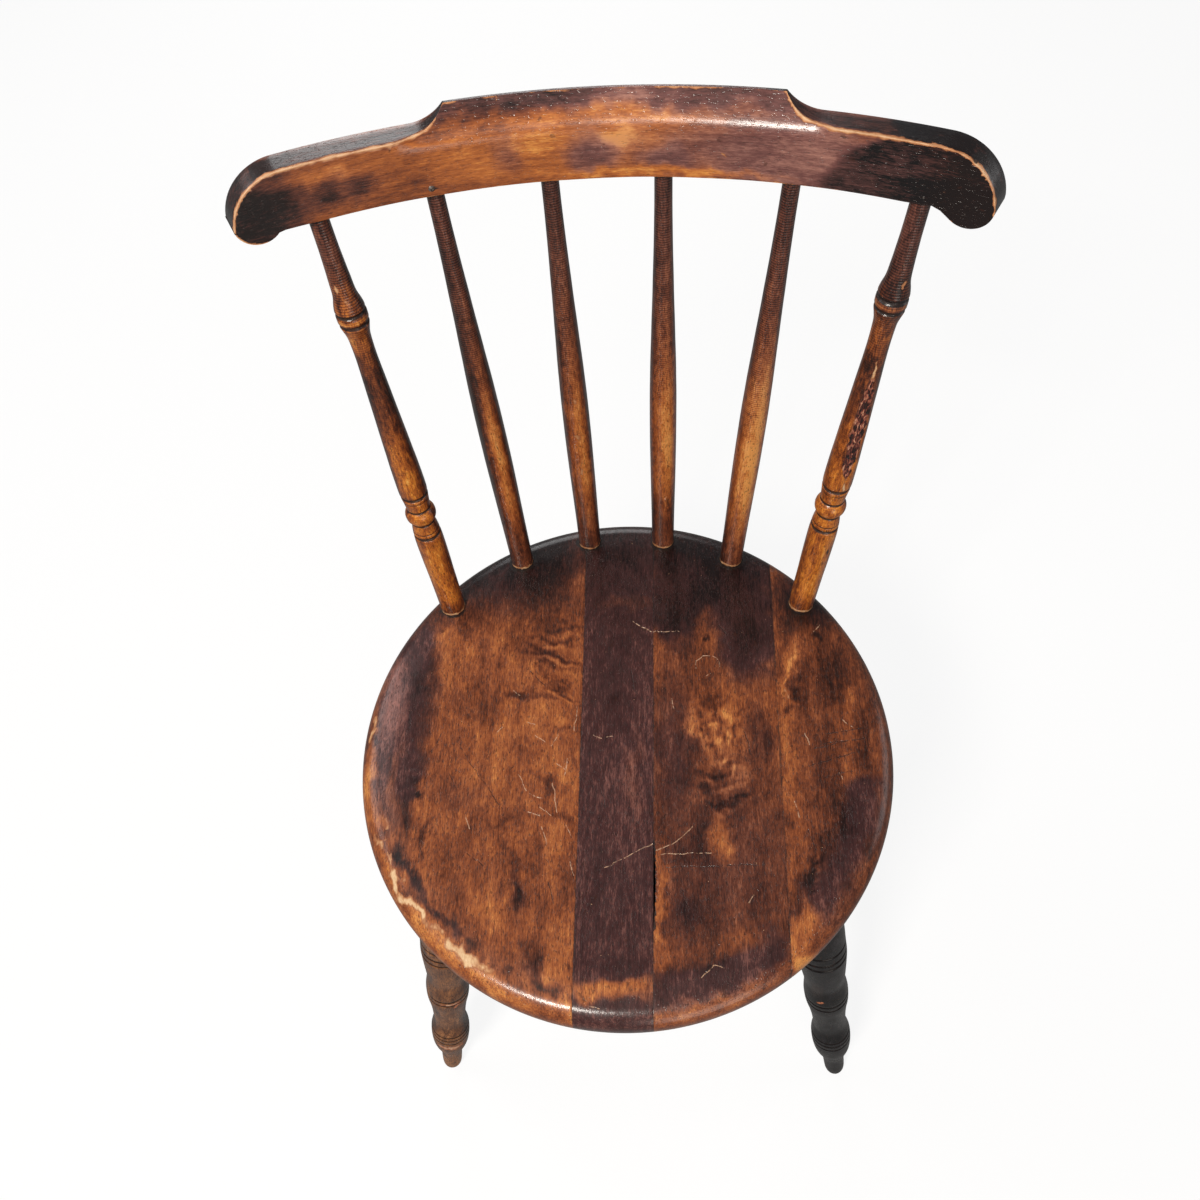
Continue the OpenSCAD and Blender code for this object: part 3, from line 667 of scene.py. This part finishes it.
# Marks of the seat: (x, y, half_x, half_y, amount), and for some a turn
LEFT_MARKS = (
    spots("tone", (-80, 164, 100, 66, -0.5, 22), (-60, 118, 44, 26, -0.22, -14),
          (-50, 100, 40, 20, -0.1))
    + spots("plum", (-84, 160, 110, 74, 1.0, 22))
    # Painted shadows falling right of and behind the feet of the left post and a stick
    + spots("dirt", (-110, 138, 26, 10, 0.4, -42), (-64, 160, 10, 14, 0.35))
    # The plum left side, with an upright border; its lighter stripe near the rim, at x -168, is a
    # painted sheen
    + spots("plum", (-160, 46, 34, 110, 1.1, 2), (-150, -18, 14, 30, 0.5),
            (-153, -36, 12, 30, 0.6), (-118, -36, 28, 20, 0.4))
    + spots("tone", (-147, 34, 16, 60, -0.18, 4), (-168, 40, 12, 60, 0.26, 2),
            (-146, 74, 12, 24, -0.08), (-152, -44, 9, 20, -0.2), (-144, -38, 4.4, 3.6, -1.3),
            (-148, -28, 8, 5, -0.25), (-120, -34, 26, 20, -0.14), (-137, -68, 3, 18, -0.4, -10),
            (-141, -92, 3, 3, -0.6))
    + spots("figure", (-56, 62, 40, 40, 0.45), (-50, -30, 24, 50, 0.5))
    # Amber middle and its dark bars
    + spots("tone", (-80, 62, 26, 20, 0.12), (-41, -22, 15, 64, 0.2, 4), (-84, 6, 44, 60, 0.07),
            (-60, 34, 34, 12, 0.08), (-62, 76, 22, 3.6, -0.26, -5), (-79, 43, 10, 5, -0.32),
            (-60, 42, 12, 4, -0.26, -16), (-45, 15, 17, 2.6, -0.16, 8),
            (-56, -22, 16, 4, -0.26, -60), (-42, -50, 14, 3.4, -0.36, -48),
            (-66, -4, 12, 4, -0.16, -40), (-108, 20, 22, 40, -0.06))
    + spots("plum", (-60, 74, 30, 22, 0.4, -10), (-68, 42, 24, 12, 0.3))
    # Smudges towards the front
    + spots("tone", (-68, -84, 18, 26, -0.14, -12), (-71, -108, 3.4, 17, -0.5, 2),
            (-60, -140, 9, 9, -0.26), (-58, -150, 8, 8, -0.3), (-76, -157, 8, 3.6, -0.36, -10),
            (-50, -166, 14, 3, -0.45, -18), (-98, -141, 9, 4, -0.4, -42), (-46, -158, 8, 5, 0.24),
            (-92, -120, 26, 20, 0.12, -40), (-110, -100, 16, 20, 0.06),
            (-156, -80, 8, 4, -0.45, 20))
    + spots("plum", (-70, -104, 8, 24, 0.6), (-58, -154, 18, 16, 0.6, -30))
    # Orange rim with varnish rubbed through
    + spots("wear", (-185, 14, 3.5, 16, 0.66, -4), (-183, 26, 4, 6, 0.5),
            (-108, -144, 12, 5, 0.5, -42), (-96, -151, 9, 3.6, 0.5, -36),
            (-153, -94, 4.6, 8, 0.5, 32)))
# Slanting flame bars beside the first seam
for k in range(7):
    LEFT_MARKS += spots("tone", (-48 - k % 3 * 4, 94 - 8 * k, 20, 2.6, -0.34, -14 - 3 * k),
                        (-46 - k % 2 * 5, 90 - 8 * k, 18, 2.2, 0.2, -15 - 3 * k))
for row in (("wear", 180, 200, 222, 5, 3.2, 0.5), ("wear", 179, 218, 242, 5, 5, 0.45),
            ("tone", 184, 182, 262, 6, 7, 0.2), ("tone", 171, 206, 230, 4, 3.2, -0.3),
            ("plum", 171.5, 206, 234, 4, 4, 0.6), ("plum", 174, 150, 204, 6, 12, 0.6)):
    LEFT_MARKS += around_rim(*row)
DARK_MARKS = (
    spots("plum", (-5, 0, 120, 900, 1.1), (-6, -165, 40, 12, -1.4, 2), (8, -20, 12, 70, -0.3),
          (-16, 8, 12, 20, -0.2), (0, 116, 30, 9, -0.4))
    + spots("tone", (-8, 44, 22, 60, -0.12), (-5, 170, 60, 120, -0.26), (-6, -165, 34, 9, 0.26, 2),
            (-8, -176, 30, 6, -0.1), (8, -24, 12, 70, 0.08), (-12, -100, 14, 44, -0.06),
            (-4, -150, 30, 6, -0.14))
    + spots("figure", (-4, -110, 26, 60, 0.35)))
MIDDLE_MARKS = (
    spots("plum", (66, 140, 90, 84, 1.3), (33, 108, 22, 36, 0.8), (66, -80, 110, 130, 0.62),
          (34, 20, 26, 90, 0.6))
    + spots("tone", (66, 150, 90, 90, -0.42), (33, 106, 20, 32, -0.2), (66, -80, 110, 150, -0.14),
            (33, 20, 22, 90, -0.14))
    # Small orange knot
    + spots("tone", (59, 92, 12, 26, 0.14, 4), (59, 87, 3, 2.4, -0.7), (46, 84, 12, 3, 0.1, -20))
    + spots("plum", (59, 92, 14, 30, -0.55, 4))
    # Plum block at the right seam
    + spots("plum", (93, 80, 30, 48, 1.3, -10), (98, 16, 14, 40, 0.4))
    + spots("tone", (94, 78, 26, 44, -0.3, -8), (97, 14, 12, 36, -0.12))
    # Flame
    + spots("tone", (53, 16, 7, 26, 0.3, 10), (70, 4, 13, 34, 0.12), (67, 20, 2, 20, -0.3, 4),
            (77, 16, 2, 18, -0.26, -6), (61, 10, 2, 18, -0.3, 8), (72, 14, 2, 20, 0.2),
            (64, 18, 1.6, 16, 0.2, 4), (66, 36, 10, 7, -0.22), (71, -14, 9, 2.4, 0.34, 12),
            (65, -20, 12, 3, -0.3, -8), (82, -22, 12, 5, 0.26, 10), (58, -29, 7, 3, -0.3, -30),
            (60, -25, 7, 2.4, 0.22), (72, -29, 13, 2, 0.34, 14), (80, -36, 15, 3, -0.32, 16),
            (67, -41, 14, 2.8, -0.3, -6), (72, -46, 14, 2, 0.2, 4), (52, -34, 7, 14, 0.18),
            (92, -30, 10, 24, 0.08))
    + spots("figure", (68, 2, 26, 56, 1.1))
    # Towards the front
    + spots("tone", (68, -66, 9, 24, 0.2), (55, -70, 7, 15, -0.16), (42, -118, 15, 14, -0.12),
            (92, -104, 16, 24, -0.1), (25, -118, 4.5, 50, 0.26), (84, -138, 34, 12, 0.12, 10),
            (34, 70, 8, 22, 0.16))
    + spots("plum", (68, -66, 11, 26, -0.5), (42, -118, 18, 18, 0.3), (25, -118, 6, 56, -1.0),
            (84, -136, 34, 13, -0.5, 10))
    + spots("wear", (53, -160, 6, 4, 0.42, 30), (68, -156, 5, 3, 0.36)))
# A plum band along the front rim, lighter outside and darker inside: partly plum stain, partly
# painted sheen
for row in (("plum", 170, -84, -52, 6, 20, 0.8), ("tone", 157, -82, -54, 6, 11, -0.14),
            ("tone", 182, -84, -46, 5, 10, 0.2)):
    MIDDLE_MARKS += around_rim(*row)
RIGHT_MARKS = (
    spots("tone", (150, 0, 80, 230, -0.2), (115, 0, 6.5, 80, 0.28), (122, 70, 9, 30, 0.2, -10),
          (120.5, 62, 30, 1.8, 0.36, 75), (121, 40, 4, 7, -0.34), (115, 30, 3, 4, -0.4),
          (126, -10, 9, 60, 0.1), (142, 60, 24, 34, -0.16), (134, 118, 34, 32, -0.34),
          (131, 20, 4, 30, -0.16, 4), (156, 4, 14, 50, 0.2, -4), (162, 36, 5, 12, 0.2),
          (142, 86, 4, 3, -0.6, -40), (127, -92, 2.6, 17, -0.4, -3), (131, -90, 2.2, 22, 0.3, -6),
          (118, -60, 8, 40, 0.12))
    + spots("plum", (150, 0, 80, 230, 0.3), (115, 0, 8, 90, -0.5), (134, 120, 36, 34, 0.8),
            (156, 4, 16, 56, -0.6, -4))
    + spots("wear", (125, 82, 9, 1.3, 0.55, 78), (117, 44, 12, 1.3, 0.5, 72))
    # Golden corner at the front
    + spots("tone", (119, -126, 9, 24, 0.2, -12), (121, -148, 12, 10, 0.7, 30),
            (152, -104, 6, 60, 0.1, -44))
    + spots("plum", (119, -128, 12, 26, -1.0, -12)))
# A plum band along the front rim, lighter outside and darker inside: partly plum stain, partly
# painted sheen
for row in (("plum", 170, -46, -6, 6, 22, 0.75), ("tone", 156, -46, -12, 6, 11, -0.16),
            ("tone", 175, -50, -10, 6, 10, 0.14)):
    RIGHT_MARKS += around_rim(*row)
# Scratches, each from x, y to x, y
PALE = {
    "left": [(-64, 10, -57, 5), (-47, 10, -52, 2), (-82, 45, -77, 40), (-75, -20, -68, -32),
             (-66, -34, -58, -37), (-50, -26, -46, -48), (-40, -56, -36, -64),
             (-58, -44, -50, -50), (-66, -48, -58, -50), (-56, -58, -52, -70),
             (-42, -20, -40, -8), (-34, 32, -36, 14), (-70, 20, -65, 18), (-110, -52, -106, -60),
             (-92, 12, -88, 16), (-48, -12, -42, -16), (-36, -82, -33, -92)],
    "dark": [(6, 100, 18, 93), (18, 93, 21, 92), (-14, 8, -8, 9), (-22, 10, -16, 8),
             (-8, -84, 8, -76), (8, -76, 20, -70), (-12, -86, -6, -84), (-20, -176, -14, -178)],
    "middle": [(21, 92, 40, 92), (52, 62, 53, 68), (53, 68, 58, 72), (58, 72, 64, 72),
               (64, 72, 69, 68), (69, 68, 70, 62), (22, -74, 34, -70), (34, -70, 48, -58),
               (26, -77, 60, -76), (34, 38, 36, 30), (60, 56, 64, 58), (52, -158, 60, -150),
               (60, -150, 66, -152), (84, -110, 88, -104)],
    "right": [(155, 20, 162, 14), (140, 90, 144, 96), (128, 10, 131, 2), (118, -40, 120, -52),
              (150, -20, 153, -26)],
}
DARK_CUTS = {
    "left": [(-118, 0, -84, -46), (-124, -20, -118, -30), (-70, 60, -58, 48),
             (-108, -76, -92, -88), (-138, -70, -140, -84), (-50, -96, -46, -110),
             (-132, 10, -138, -4), (-84, -20, -78, -14)],
    "dark": [(-16, -30, -12, -44), (4, 60, 8, 44)],
    "middle": [(40, -100, 44, -116), (70, 96, 76, 88), (86, 12, 90, -6), (30, -86, 96, -84)],
    "right": [(134, 8, 172, 14), (132, -2, 170, 6), (130, -14, 166, -4), (136, -24, 160, -18),
              (140, 2, 160, 4), (126, -60, 130, -74)],
}
SEAT_BROWNS = ("#2a130b", "#dc9450", "#582c1a", "#88492a", "#b06738")
SEAT_PLUMS = ("#160909", "#9a665c", "#462827")
# Each board's slot, marks and look
boards = {
    "left": ("brown", LEFT_MARKS, dict(clouds=(24, 46), contrast=0.78, mottling=0.6)),
    "dark": ("plum", DARK_MARKS, dict(clouds=(16, 60), contrast=0.3,
                                      rings=(-4, -150, 2.2, 12, 0.09))),
    "middle": ("flame", MIDDLE_MARKS, dict(clouds=(22, 50), contrast=0.72, mottling=0.6)),
    "right": ("gold", RIGHT_MARKS, dict(clouds=(16, 44), contrast=0.66, mottling=0.6)),
}
SEAT_FEET = []
for name in ("post_left", "post_right", "stick_1", "stick_2", "stick_3", "stick_4"):
    at = axis_of("back_" + name, FOOT_TENON)[0] - SEAT_AT
    SEAT_FEET.append((at.x / MM, at.y / MM))


def seat_profile(rows=78, turns=12):
    """Section of the seat from the middle of the hollowed top round to the bottom, in mm."""
    ball = (DISH_R ** 2 + DISH_DEPTH ** 2) / (2 * DISH_DEPTH)
    points = []
    for k in range(rows):
        r = FLAT_R * k / rows
        sink = ball - DISH_DEPTH - math.sqrt(ball ** 2 - r ** 2) if r < DISH_R else 0
        fall = max(0, (r - CREST_R) / (FLAT_R - CREST_R)) ** 2
        points.append((r, 0, min(sink, 0) - CREST * fall))
    for start, middle, worn_and_highlit in ((90, -EDGE_R, CREST), (0, EDGE_R - SEAT_T, 0)):
        for k in range(turns + 1):
            turn = math.radians(start - 90 * k / turns)
            points.append((FLAT_R + EDGE_R * math.cos(turn), 0,
                           middle + (EDGE_R - worn_and_highlit) * math.sin(turn)))
    return points + [(FLAT_R * k / turns, 0, -SEAT_T) for k in range(turns - 1, -1, -1)]


disc = spun(seat_profile(), 480)


def seat_board(which, left, right):
    """One board of the seat: the turned disc cut at its two seams."""
    bm = disc.copy()
    for x, outward in ((left, -1), (right, 1)):
        if x is None:
            continue
        glued = cut(bm, (x * MM, 0, 0), (outward, 0, 0), 1e-7, drop=True)
        ease(bm, [e for f in glued for e in f.edges], 0.35 * MM, 2)
    bmesh.ops.recalc_face_normals(bm, faces=bm.faces)
    slot, marks, look = boards[which]
    at_rest = places_of(bm)
    x, y, z = at_rest.T
    soft = ragged(at_rest, 16, 7)
    masks = marks_at(soft[:, 0], soft[:, 1], marks)
    near_seam = np.min([np.abs(x - seam) for seam in (left, right) if seam is not None], axis=0)
    masks["dirt"] += 0.55 * (near_seam < 0.7)
    for fx, fy in SEAT_FEET:
        # Dark at the joint round each spindle, fading out to 22 mm, and darker wood out to 40 mm
        gap = np.hypot(soft[:, 0] - fx, soft[:, 1] - fy)
        masks["dirt"] += (0.4 * np.clip(1 - gap / 22, 0, 1)
                          + 0.5 * (np.hypot(x - fx, y - fy) < 10.5)) * (z > -8)
        masks["tone"] -= 0.16 * np.clip(1 - gap / 40, 0, 1)
    masks["tone"] += 0.1 * (z < -16) - 0.1 * (z < -24)
    top = -EDGE_R
    open_by = np.zeros(len(x))
    if which == "middle":
        # The open glue joint near the front of the third board
        open_by = np.clip(1 - ((y + 98) / 30) ** 2, 0, 1) * (z > top) * (x < left + 1)
        masks["dirt"] += open_by > 0
    for vert, place, gape in zip(bm.verts, at_rest, open_by):
        vert.co.x += 1.4 * MM * gape
        if place[2] > top:
            vert.co.z += 0.35 * MM * noise.noise(Vector(place) * 0.012)
    paint(bm, at_rest[:, [0, 2, 1]] * MM, masks)
    placing = SEAT_SLOPE.to_4x4()
    placing.translation = SEAT_AT
    bmesh.ops.transform(bm, matrix=placing, verts=bm.verts)
    wood = varnished_wood("stained_birch_board_" + which, SEAT_BROWNS, SEAT_PLUMS,
                          pale=PALE[which], dark=DARK_CUTS[which], **look)
    piece(bm, "worn_board_" + which, wood, "seat_board_" + which)


sides = [None] + SEAMS + [None]
for which, left, right in zip(boards, sides, sides[1:]):
    seat_board(which, left, right)
disc.free()


# ---- crest rail ----

RAIL_BEND = 391
RAIL_T = 16
EAR_H, CROWN_H, RIDGE_H = 32.6, 41.5, 29.5
RAKE = math.radians(9.8)
RAIL_LEAN, RAIL_Y, RAIL_Z = 6, 193.5, 338.5


def arc(cx, cy, r, start, end, steps):
    """Points along an arc, in mm."""
    turns = [math.radians(start + (end - start) * k / steps) for k in range(steps + 1)]
    return [(cx + r * math.cos(t), cy + r * math.sin(t)) for t in turns]


def rail_outline():
    """The rail's front outline (s, h), anticlockwise from the middle of its lower edge."""
    right = [(40, 0), (90, 0), (150, 0), (160, 0.4), (164.5, 0.9), (169, -0.7), (172.5, -3.2)]
    right += arc(182.2, 5.8, 13, 232, 350, 16)
    right += arc(165.2, 2.6, 30, 6, 88, 18)
    right += [(150, EAR_H), (128, EAR_H)]
    right += arc(104.6, 56.6, 24, 270, 219, 12)
    left = arc(-98.6, 56.6, 24, -39, -90, 12)
    left += [(-128, EAR_H), (-150, EAR_H)]
    left += arc(-166, 2.6, 30, 92, 172, 18)
    left += arc(-183, 9.6, 13, 190, 313, 16)
    left += [(-170.6, 0.6), (-150, 0), (-90, 0), (-40, 0)]
    return right + left


def rail_place(s, t, h):
    """A place on the rail, in the chair's frame: s round the bend, t back, h up its face."""
    turn = s / RAIL_BEND
    depth = (RAIL_BEND + t) * math.cos(turn) - RAIL_BEND
    at = Vector((RAIL_LEAN + (RAIL_BEND + t) * math.sin(turn),
                 RAIL_Y + depth * math.cos(RAKE) + h * math.sin(RAKE),
                 RAIL_Z - depth * math.sin(RAKE) + h * math.cos(RAKE)))
    return SEAT_AT + at * MM


def roll(s, h):
    """How far the rolled top leans back at this height, in mm."""
    fade = min(1, max(0, (112 - abs(s - 3)) / 14))
    # The bend is rounded over 8 mm, evenly about the ridge
    over = (h - RIDGE_H + 4) / 8
    if over < 0:
        return 0
    slope = 14 / (CROWN_H - RIDGE_H)
    lean = slope * 4 * over * over if over < 1 else slope * (h - RIDGE_H)
    return lean * fade * fade * (3 - 2 * fade)


# Marks of the rail: (place along it, height, half length, half height, amount)
RAIL_MARKS = (
    spots("tone", (-30, 25, 60, 5, 0.16), (-70, 14, 26, 14, 0.14), (-60, 9, 30, 6, 0.1, 4),
          (4, 24, 12, 6, 0.2), (-186, 10, 44, 34, -0.62), (-146, 13, 12, 14, -0.3),
          (-127, 15, 11, 12, -0.3), (-140, 24, 24, 4, 0.2), (-152, 6, 16, 10, 0.06),
          (-144, 12, 5, 5, -0.2), (-52, 18, 10, 16, -0.12), (-12, 13, 14, 14, -0.2),
          (28, 9, 14, 12, -0.14), (80, 20, 70, 24, 0.06), (-20, 15, 120, 50, 0.1),
          (-44, 20, 20, 3, 0.16), (8, 21, 9, 5, 0.2), (6, 13, 7, 12, 0.14), (40, 2.5, 70, 3, 0.24),
          # The marks at 172 and 186 darken the right end: part of its painted cast shadow
          (10, 4, 60, 5, 0.12), (172, 2, 40, 20, -0.3), (186, 16, 30, 26, -0.16))
    + spots("plum", (-186, 12, 44, 34, 0.7), (-136, 14, 30, 18, 0.4), (-52, 18, 12, 18, 0.5),
            (-10, 13, 20, 18, 0.7), (28, 9, 18, 14, 0.6), (94, 14, 84, 40, 1.2),
            (30, 2.5, 90, 3, -0.6), (10, 18, 50, 20, 0.4))
    + spots("dirt", (-96, 3, 14, 2, 0.3))
    # The rolled top: plum band above the ridge, lighter towards the right
    + spots("plum", (0, 45, 190, 13, 1.6))
    + spots("tone", (-50, 42, 60, 9, -0.42), (60, 43, 50, 8, -0.2), (10, 34, 90, 4, 0.2),
            (-94, 27, 30, 4, 0.16, 4), (-104, 10, 14, 8, -0.08))
    + spots("dirt", (-110, 28, 2.4, 4, 0.6), (184, 27, 8, 2.2, 1.4, -24), (-91, 4, 3, 3, 0.6))
    + spots("wear", (-106, 28.6, 8, 0.9, 0.7), (190, 25, 6, 2, 0.7, -50), (-52, 5, 1.6, 1.6, 0.8),
            (58, 13, 1.4, 2, 0.5), (-55, 39, 1, 1, 0.7)))


def crest_rail():
    """The sawn outline, thickened, eased, cut into strips, rolled and bent to shape."""
    bm = bmesh.new()
    front = bm.faces.new([bm.verts.new((s, 0, h)) for s, h in rail_outline()])
    grown = bmesh.ops.extrude_face_region(bm, geom=[front])["geom"]
    back = [g for g in grown if isinstance(g, bmesh.types.BMVert)]
    bmesh.ops.translate(bm, vec=(0, RAIL_T, 0), verts=back)
    bmesh.ops.holes_fill(bm, edges=[e for e in bm.edges if e.is_boundary])
    bmesh.ops.recalc_face_normals(bm, faces=bm.faces)
    for y in (0, RAIL_T):
        edges = [e for e in bm.edges if all(abs(v.co.y - y) < 1e-4 for v in e.verts)]
        ease(bm, edges, 1.25, 3)
    # Strips 2 mm wide across and along, 4 mm through the thickness
    cuts = [((s, 0, 0), (1, 0, 0)) for s in range(-194, 196, 2)]
    cuts += [((0, 0, h), (0, 0, 1)) for h in range(-6, 42, 2)]
    cuts += [((0, t, 0), (0, 1, 0)) for t in (4, 8, 12)]
    for at, facing in cuts:
        cut(bm, at, facing, 1e-4)
    at_rest = np.array([v.co for v in bm.verts])
    s, t, h = at_rest.T
    soft = ragged(at_rest, 12, 4)
    masks = marks_at(soft[:, 0], soft[:, 2], RAIL_MARKS)
    # Rubbed edge, by how near each place is to the front outline; most of all at the ears
    ends = np.array(rail_outline())
    starts = np.roll(ends, 1, axis=0)
    runs = ends - starts
    gaps = at_rest[:, None, [0, 2]] - starts[None]
    part = np.clip((gaps * runs).sum(2) / (runs ** 2).sum(1), 0, 1)
    near = np.linalg.norm(gaps - part[..., None] * runs, axis=2).min(1)
    rub = np.clip(1.15 - near / 1.2, 0, 1) * np.clip(1.05 - t / 1.3, 0, 1)
    ears = (np.abs(s) > 84) & (h > 20) | (np.abs(s) > 184)
    strength = np.where(ears, 0.8, np.where(h > 36, 0.4, 0.42))
    strength = np.where((h < 3) & (s > 120), 0.1, strength)
    patchy = np.array([noise.noise(Vector((p[0] / 13, p[2] / 13, 5.5))) for p in at_rest])
    masks["wear"] += rub * (strength + 0.35 * patchy)
    # Dark sawn top edge of the ears, and a darker back
    masks["tone"] -= 0.42 * ((h > 30) & (np.abs(s) > 76) & (t > 1.5) & (t < RAIL_T - 1.5))
    masks["tone"] -= 0.1 * (t > 12)
    # The right end is far darker, a painted cast shadow, from a curved line that leans out as it
    # rises
    border = 104 + 25 * (soft[:, 2] / 29) ** 2
    painted_shadow = np.clip((soft[:, 0] - border) / 7, 0, 1)
    masks["tone"] -= 0.4 * painted_shadow * (s > 90)
    masks["plum"] += 0.6 * painted_shadow
    paint(bm, at_rest[:, [2, 1, 0]] * MM, masks)
    for vert, (s, t, h) in zip(bm.verts, at_rest):
        lean = roll(s, h)
        deep = lean + t * (RAIL_T - lean) / RAIL_T
        sway = 0.25 * noise.noise(Vector((s * 0.03, t * 0.05, h * 0.06)))
        vert.co = rail_place(s, deep + sway * (t < 8), h)
    bmesh.ops.recalc_face_normals(bm, faces=bm.faces)
    wood = varnished_wood("stained_birch_rail",
                          ("#220d08", "#eaa052", "#582a19", "#924e26", "#be6e34"),
                          ("#0c090b", "#c48e7e", "#744a46"), clouds=(14, 40), contrast=0.6,
                          mottling=0.3, grain=0.8, coat=0.7, coat_rough=0.2, chips=0.3,
                          pores=0.25, raw_and_highlight=("#a8683f", "#d69a6c", "#efc398"))
    piece(bm, "bent_crest_rail", wood, "crest_rail")


crest_rail()


# ---- pins ----

# Mild steel wire nails, darkened and lightly rusted: dull grey with brown spots
steel = bpy.data.materials.new("darkened_mild_steel")
tree = empty_tree(steel)
coords = node(tree, "TexCoord").outputs["Object"]
rust = node(tree, "TexNoise", {"Vector": coords, "Scale": 900, "Detail": 3}).outputs["Fac"]
tint = node(tree, "ValToRGB", {"Fac": rust}, stops=[(0.42, "#8f8a86"), (0.62, "#4a3226")])
rough = node(tree, "MapRange", {0: rust, 1: 0.3, 2: 0.7, 3: 0.35, 4: 0.7}).outputs[0]
shader = node(tree, "BsdfPrincipled", {"Base Color": tint.outputs[0], "Roughness": rough,
                                       "Metallic": 0.8})
node(tree, "OutputMaterial", {"Surface": shader.outputs[0]})

HEAD_R = 1.9
NAIL = [(0, -0.35, 0), (1.0, -0.3, 0), (1.7, -0.05, 0), (HEAD_R, 0.25, 0), (HEAD_R, 0.7, 0),
        (1.1, 0.8, 0), (1.1, 12.4, 0), (0, 12.5, 0)]
for side in ("left", "right"):
    node_name = "rail_pin_" + side
    low, high = (Vector(c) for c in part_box(node_name))
    middle = (low + high) / 2
    bm = spun(NAIL, 24, axis=(0, 1, 0))
    turn = Matrix.Rotation(-math.atan2(middle.x - RAIL_LEAN * MM, RAIL_BEND * MM), 4, "Z")
    at = Matrix.Translation((middle.x, low.y, high.z - HEAD_R * MM))
    placing = at @ turn @ Matrix.Rotation(-RAKE, 4, "X")
    bmesh.ops.transform(bm, matrix=placing, verts=bm.verts)
    piece(bm, "nail_" + side, steel, node_name)


# ---- floor, light and camera ----

def seen_as(tree, straight, mirrored):
    """One share for rays straight from the camera, another for reflections, none for light."""
    path = node(tree, "LightPath")
    seen = 0
    for ray, share in (("Camera", straight), ("Glossy", mirrored), ("Transmission", mirrored)):
        seen = node(tree, "Math", {0: path.outputs["Is %s Ray" % ray], 1: share, 2: seen},
                    operation="MULTIPLY_ADD").outputs[0]
    return seen


# Matt white card: even and pale, it keeps only a soft shadow
card = bpy.data.materials.new("matt_white_card")
tree = empty_tree(card)
matt = node(tree, "BsdfDiffuse", {"Color": linear("#6e6e6e")})
white = node(tree, "Emission", {"Color": (1, 1, 1, 1), "Strength": seen_as(tree, 0.86, 0.1)})
both = node(tree, "AddShader", {0: matt.outputs[0], 1: white.outputs[0]})
node(tree, "OutputMaterial", {"Surface": both.outputs[0]})

bm = bmesh.new()
bmesh.ops.create_grid(bm, x_segments=1, y_segments=1, size=6)
put_mesh(bm, "floor", card)

world = bpy.data.worlds.new("studio")
bpy.context.scene.world = world
tree = empty_tree(world)
soft = node(tree, "Background", {"Color": linear("#eef2f7"), "Strength": 0.11})
white = node(tree, "Background", {"Color": (1, 1, 1, 1), "Strength": 1.0})
both = node(tree, "MixShader", {0: seen_as(tree, 1, 0.03), 1: soft.outputs[0],
                                2: white.outputs[0]})
node(tree, "OutputWorld", {"Surface": both.outputs[0]})


def lamp(name, at, towards, size, watts, tint="#ffffff"):
    """A square softbox."""
    data = bpy.data.lights.new(name, "AREA")
    data.energy = watts
    data.size = size
    data.color = linear(tint)[:3]
    made = put(name, data)
    made.location = at
    made.rotation_euler = (Vector(towards) - Vector(at)).to_track_quat("-Z", "Y").to_euler()


lamp("key", (-0.56, -0.96, 2.25), (0, 0, 0.5), 0.42, 36, "#fff8ee")
lamp("left", (-1.6, 0.7, 1.9), (0, 0, 0.5), 1.3, 12)
lamp("right", (1.8, 0.4, 1.1), (0, 0, 0.5), 1.0, 5)
lamp("front", (0.7, -1.8, 0.9), (0, 0, 0.4), 1.0, 9, "#fff6ec")
lamp("back", (-0.3, 1.9, 1.1), (0, 0, 0.5), 1.0, 9)

camera = bpy.data.cameras.new("camera")
camera.lens = 34.5
camera.sensor_width = 36
view = put("camera", camera)
view.location = (0.0369, -0.2829, 1.2217)
turn = (Matrix.Rotation(math.radians(8.26), 3, "Z") @ Matrix.Rotation(math.radians(26.66), 3, "X")
        @ Matrix.Rotation(math.radians(-7.97), 3, "Z"))
view.rotation_euler = turn.to_euler()
bpy.context.scene.camera = view
bpy.context.scene.view_settings.view_transform = "Standard"
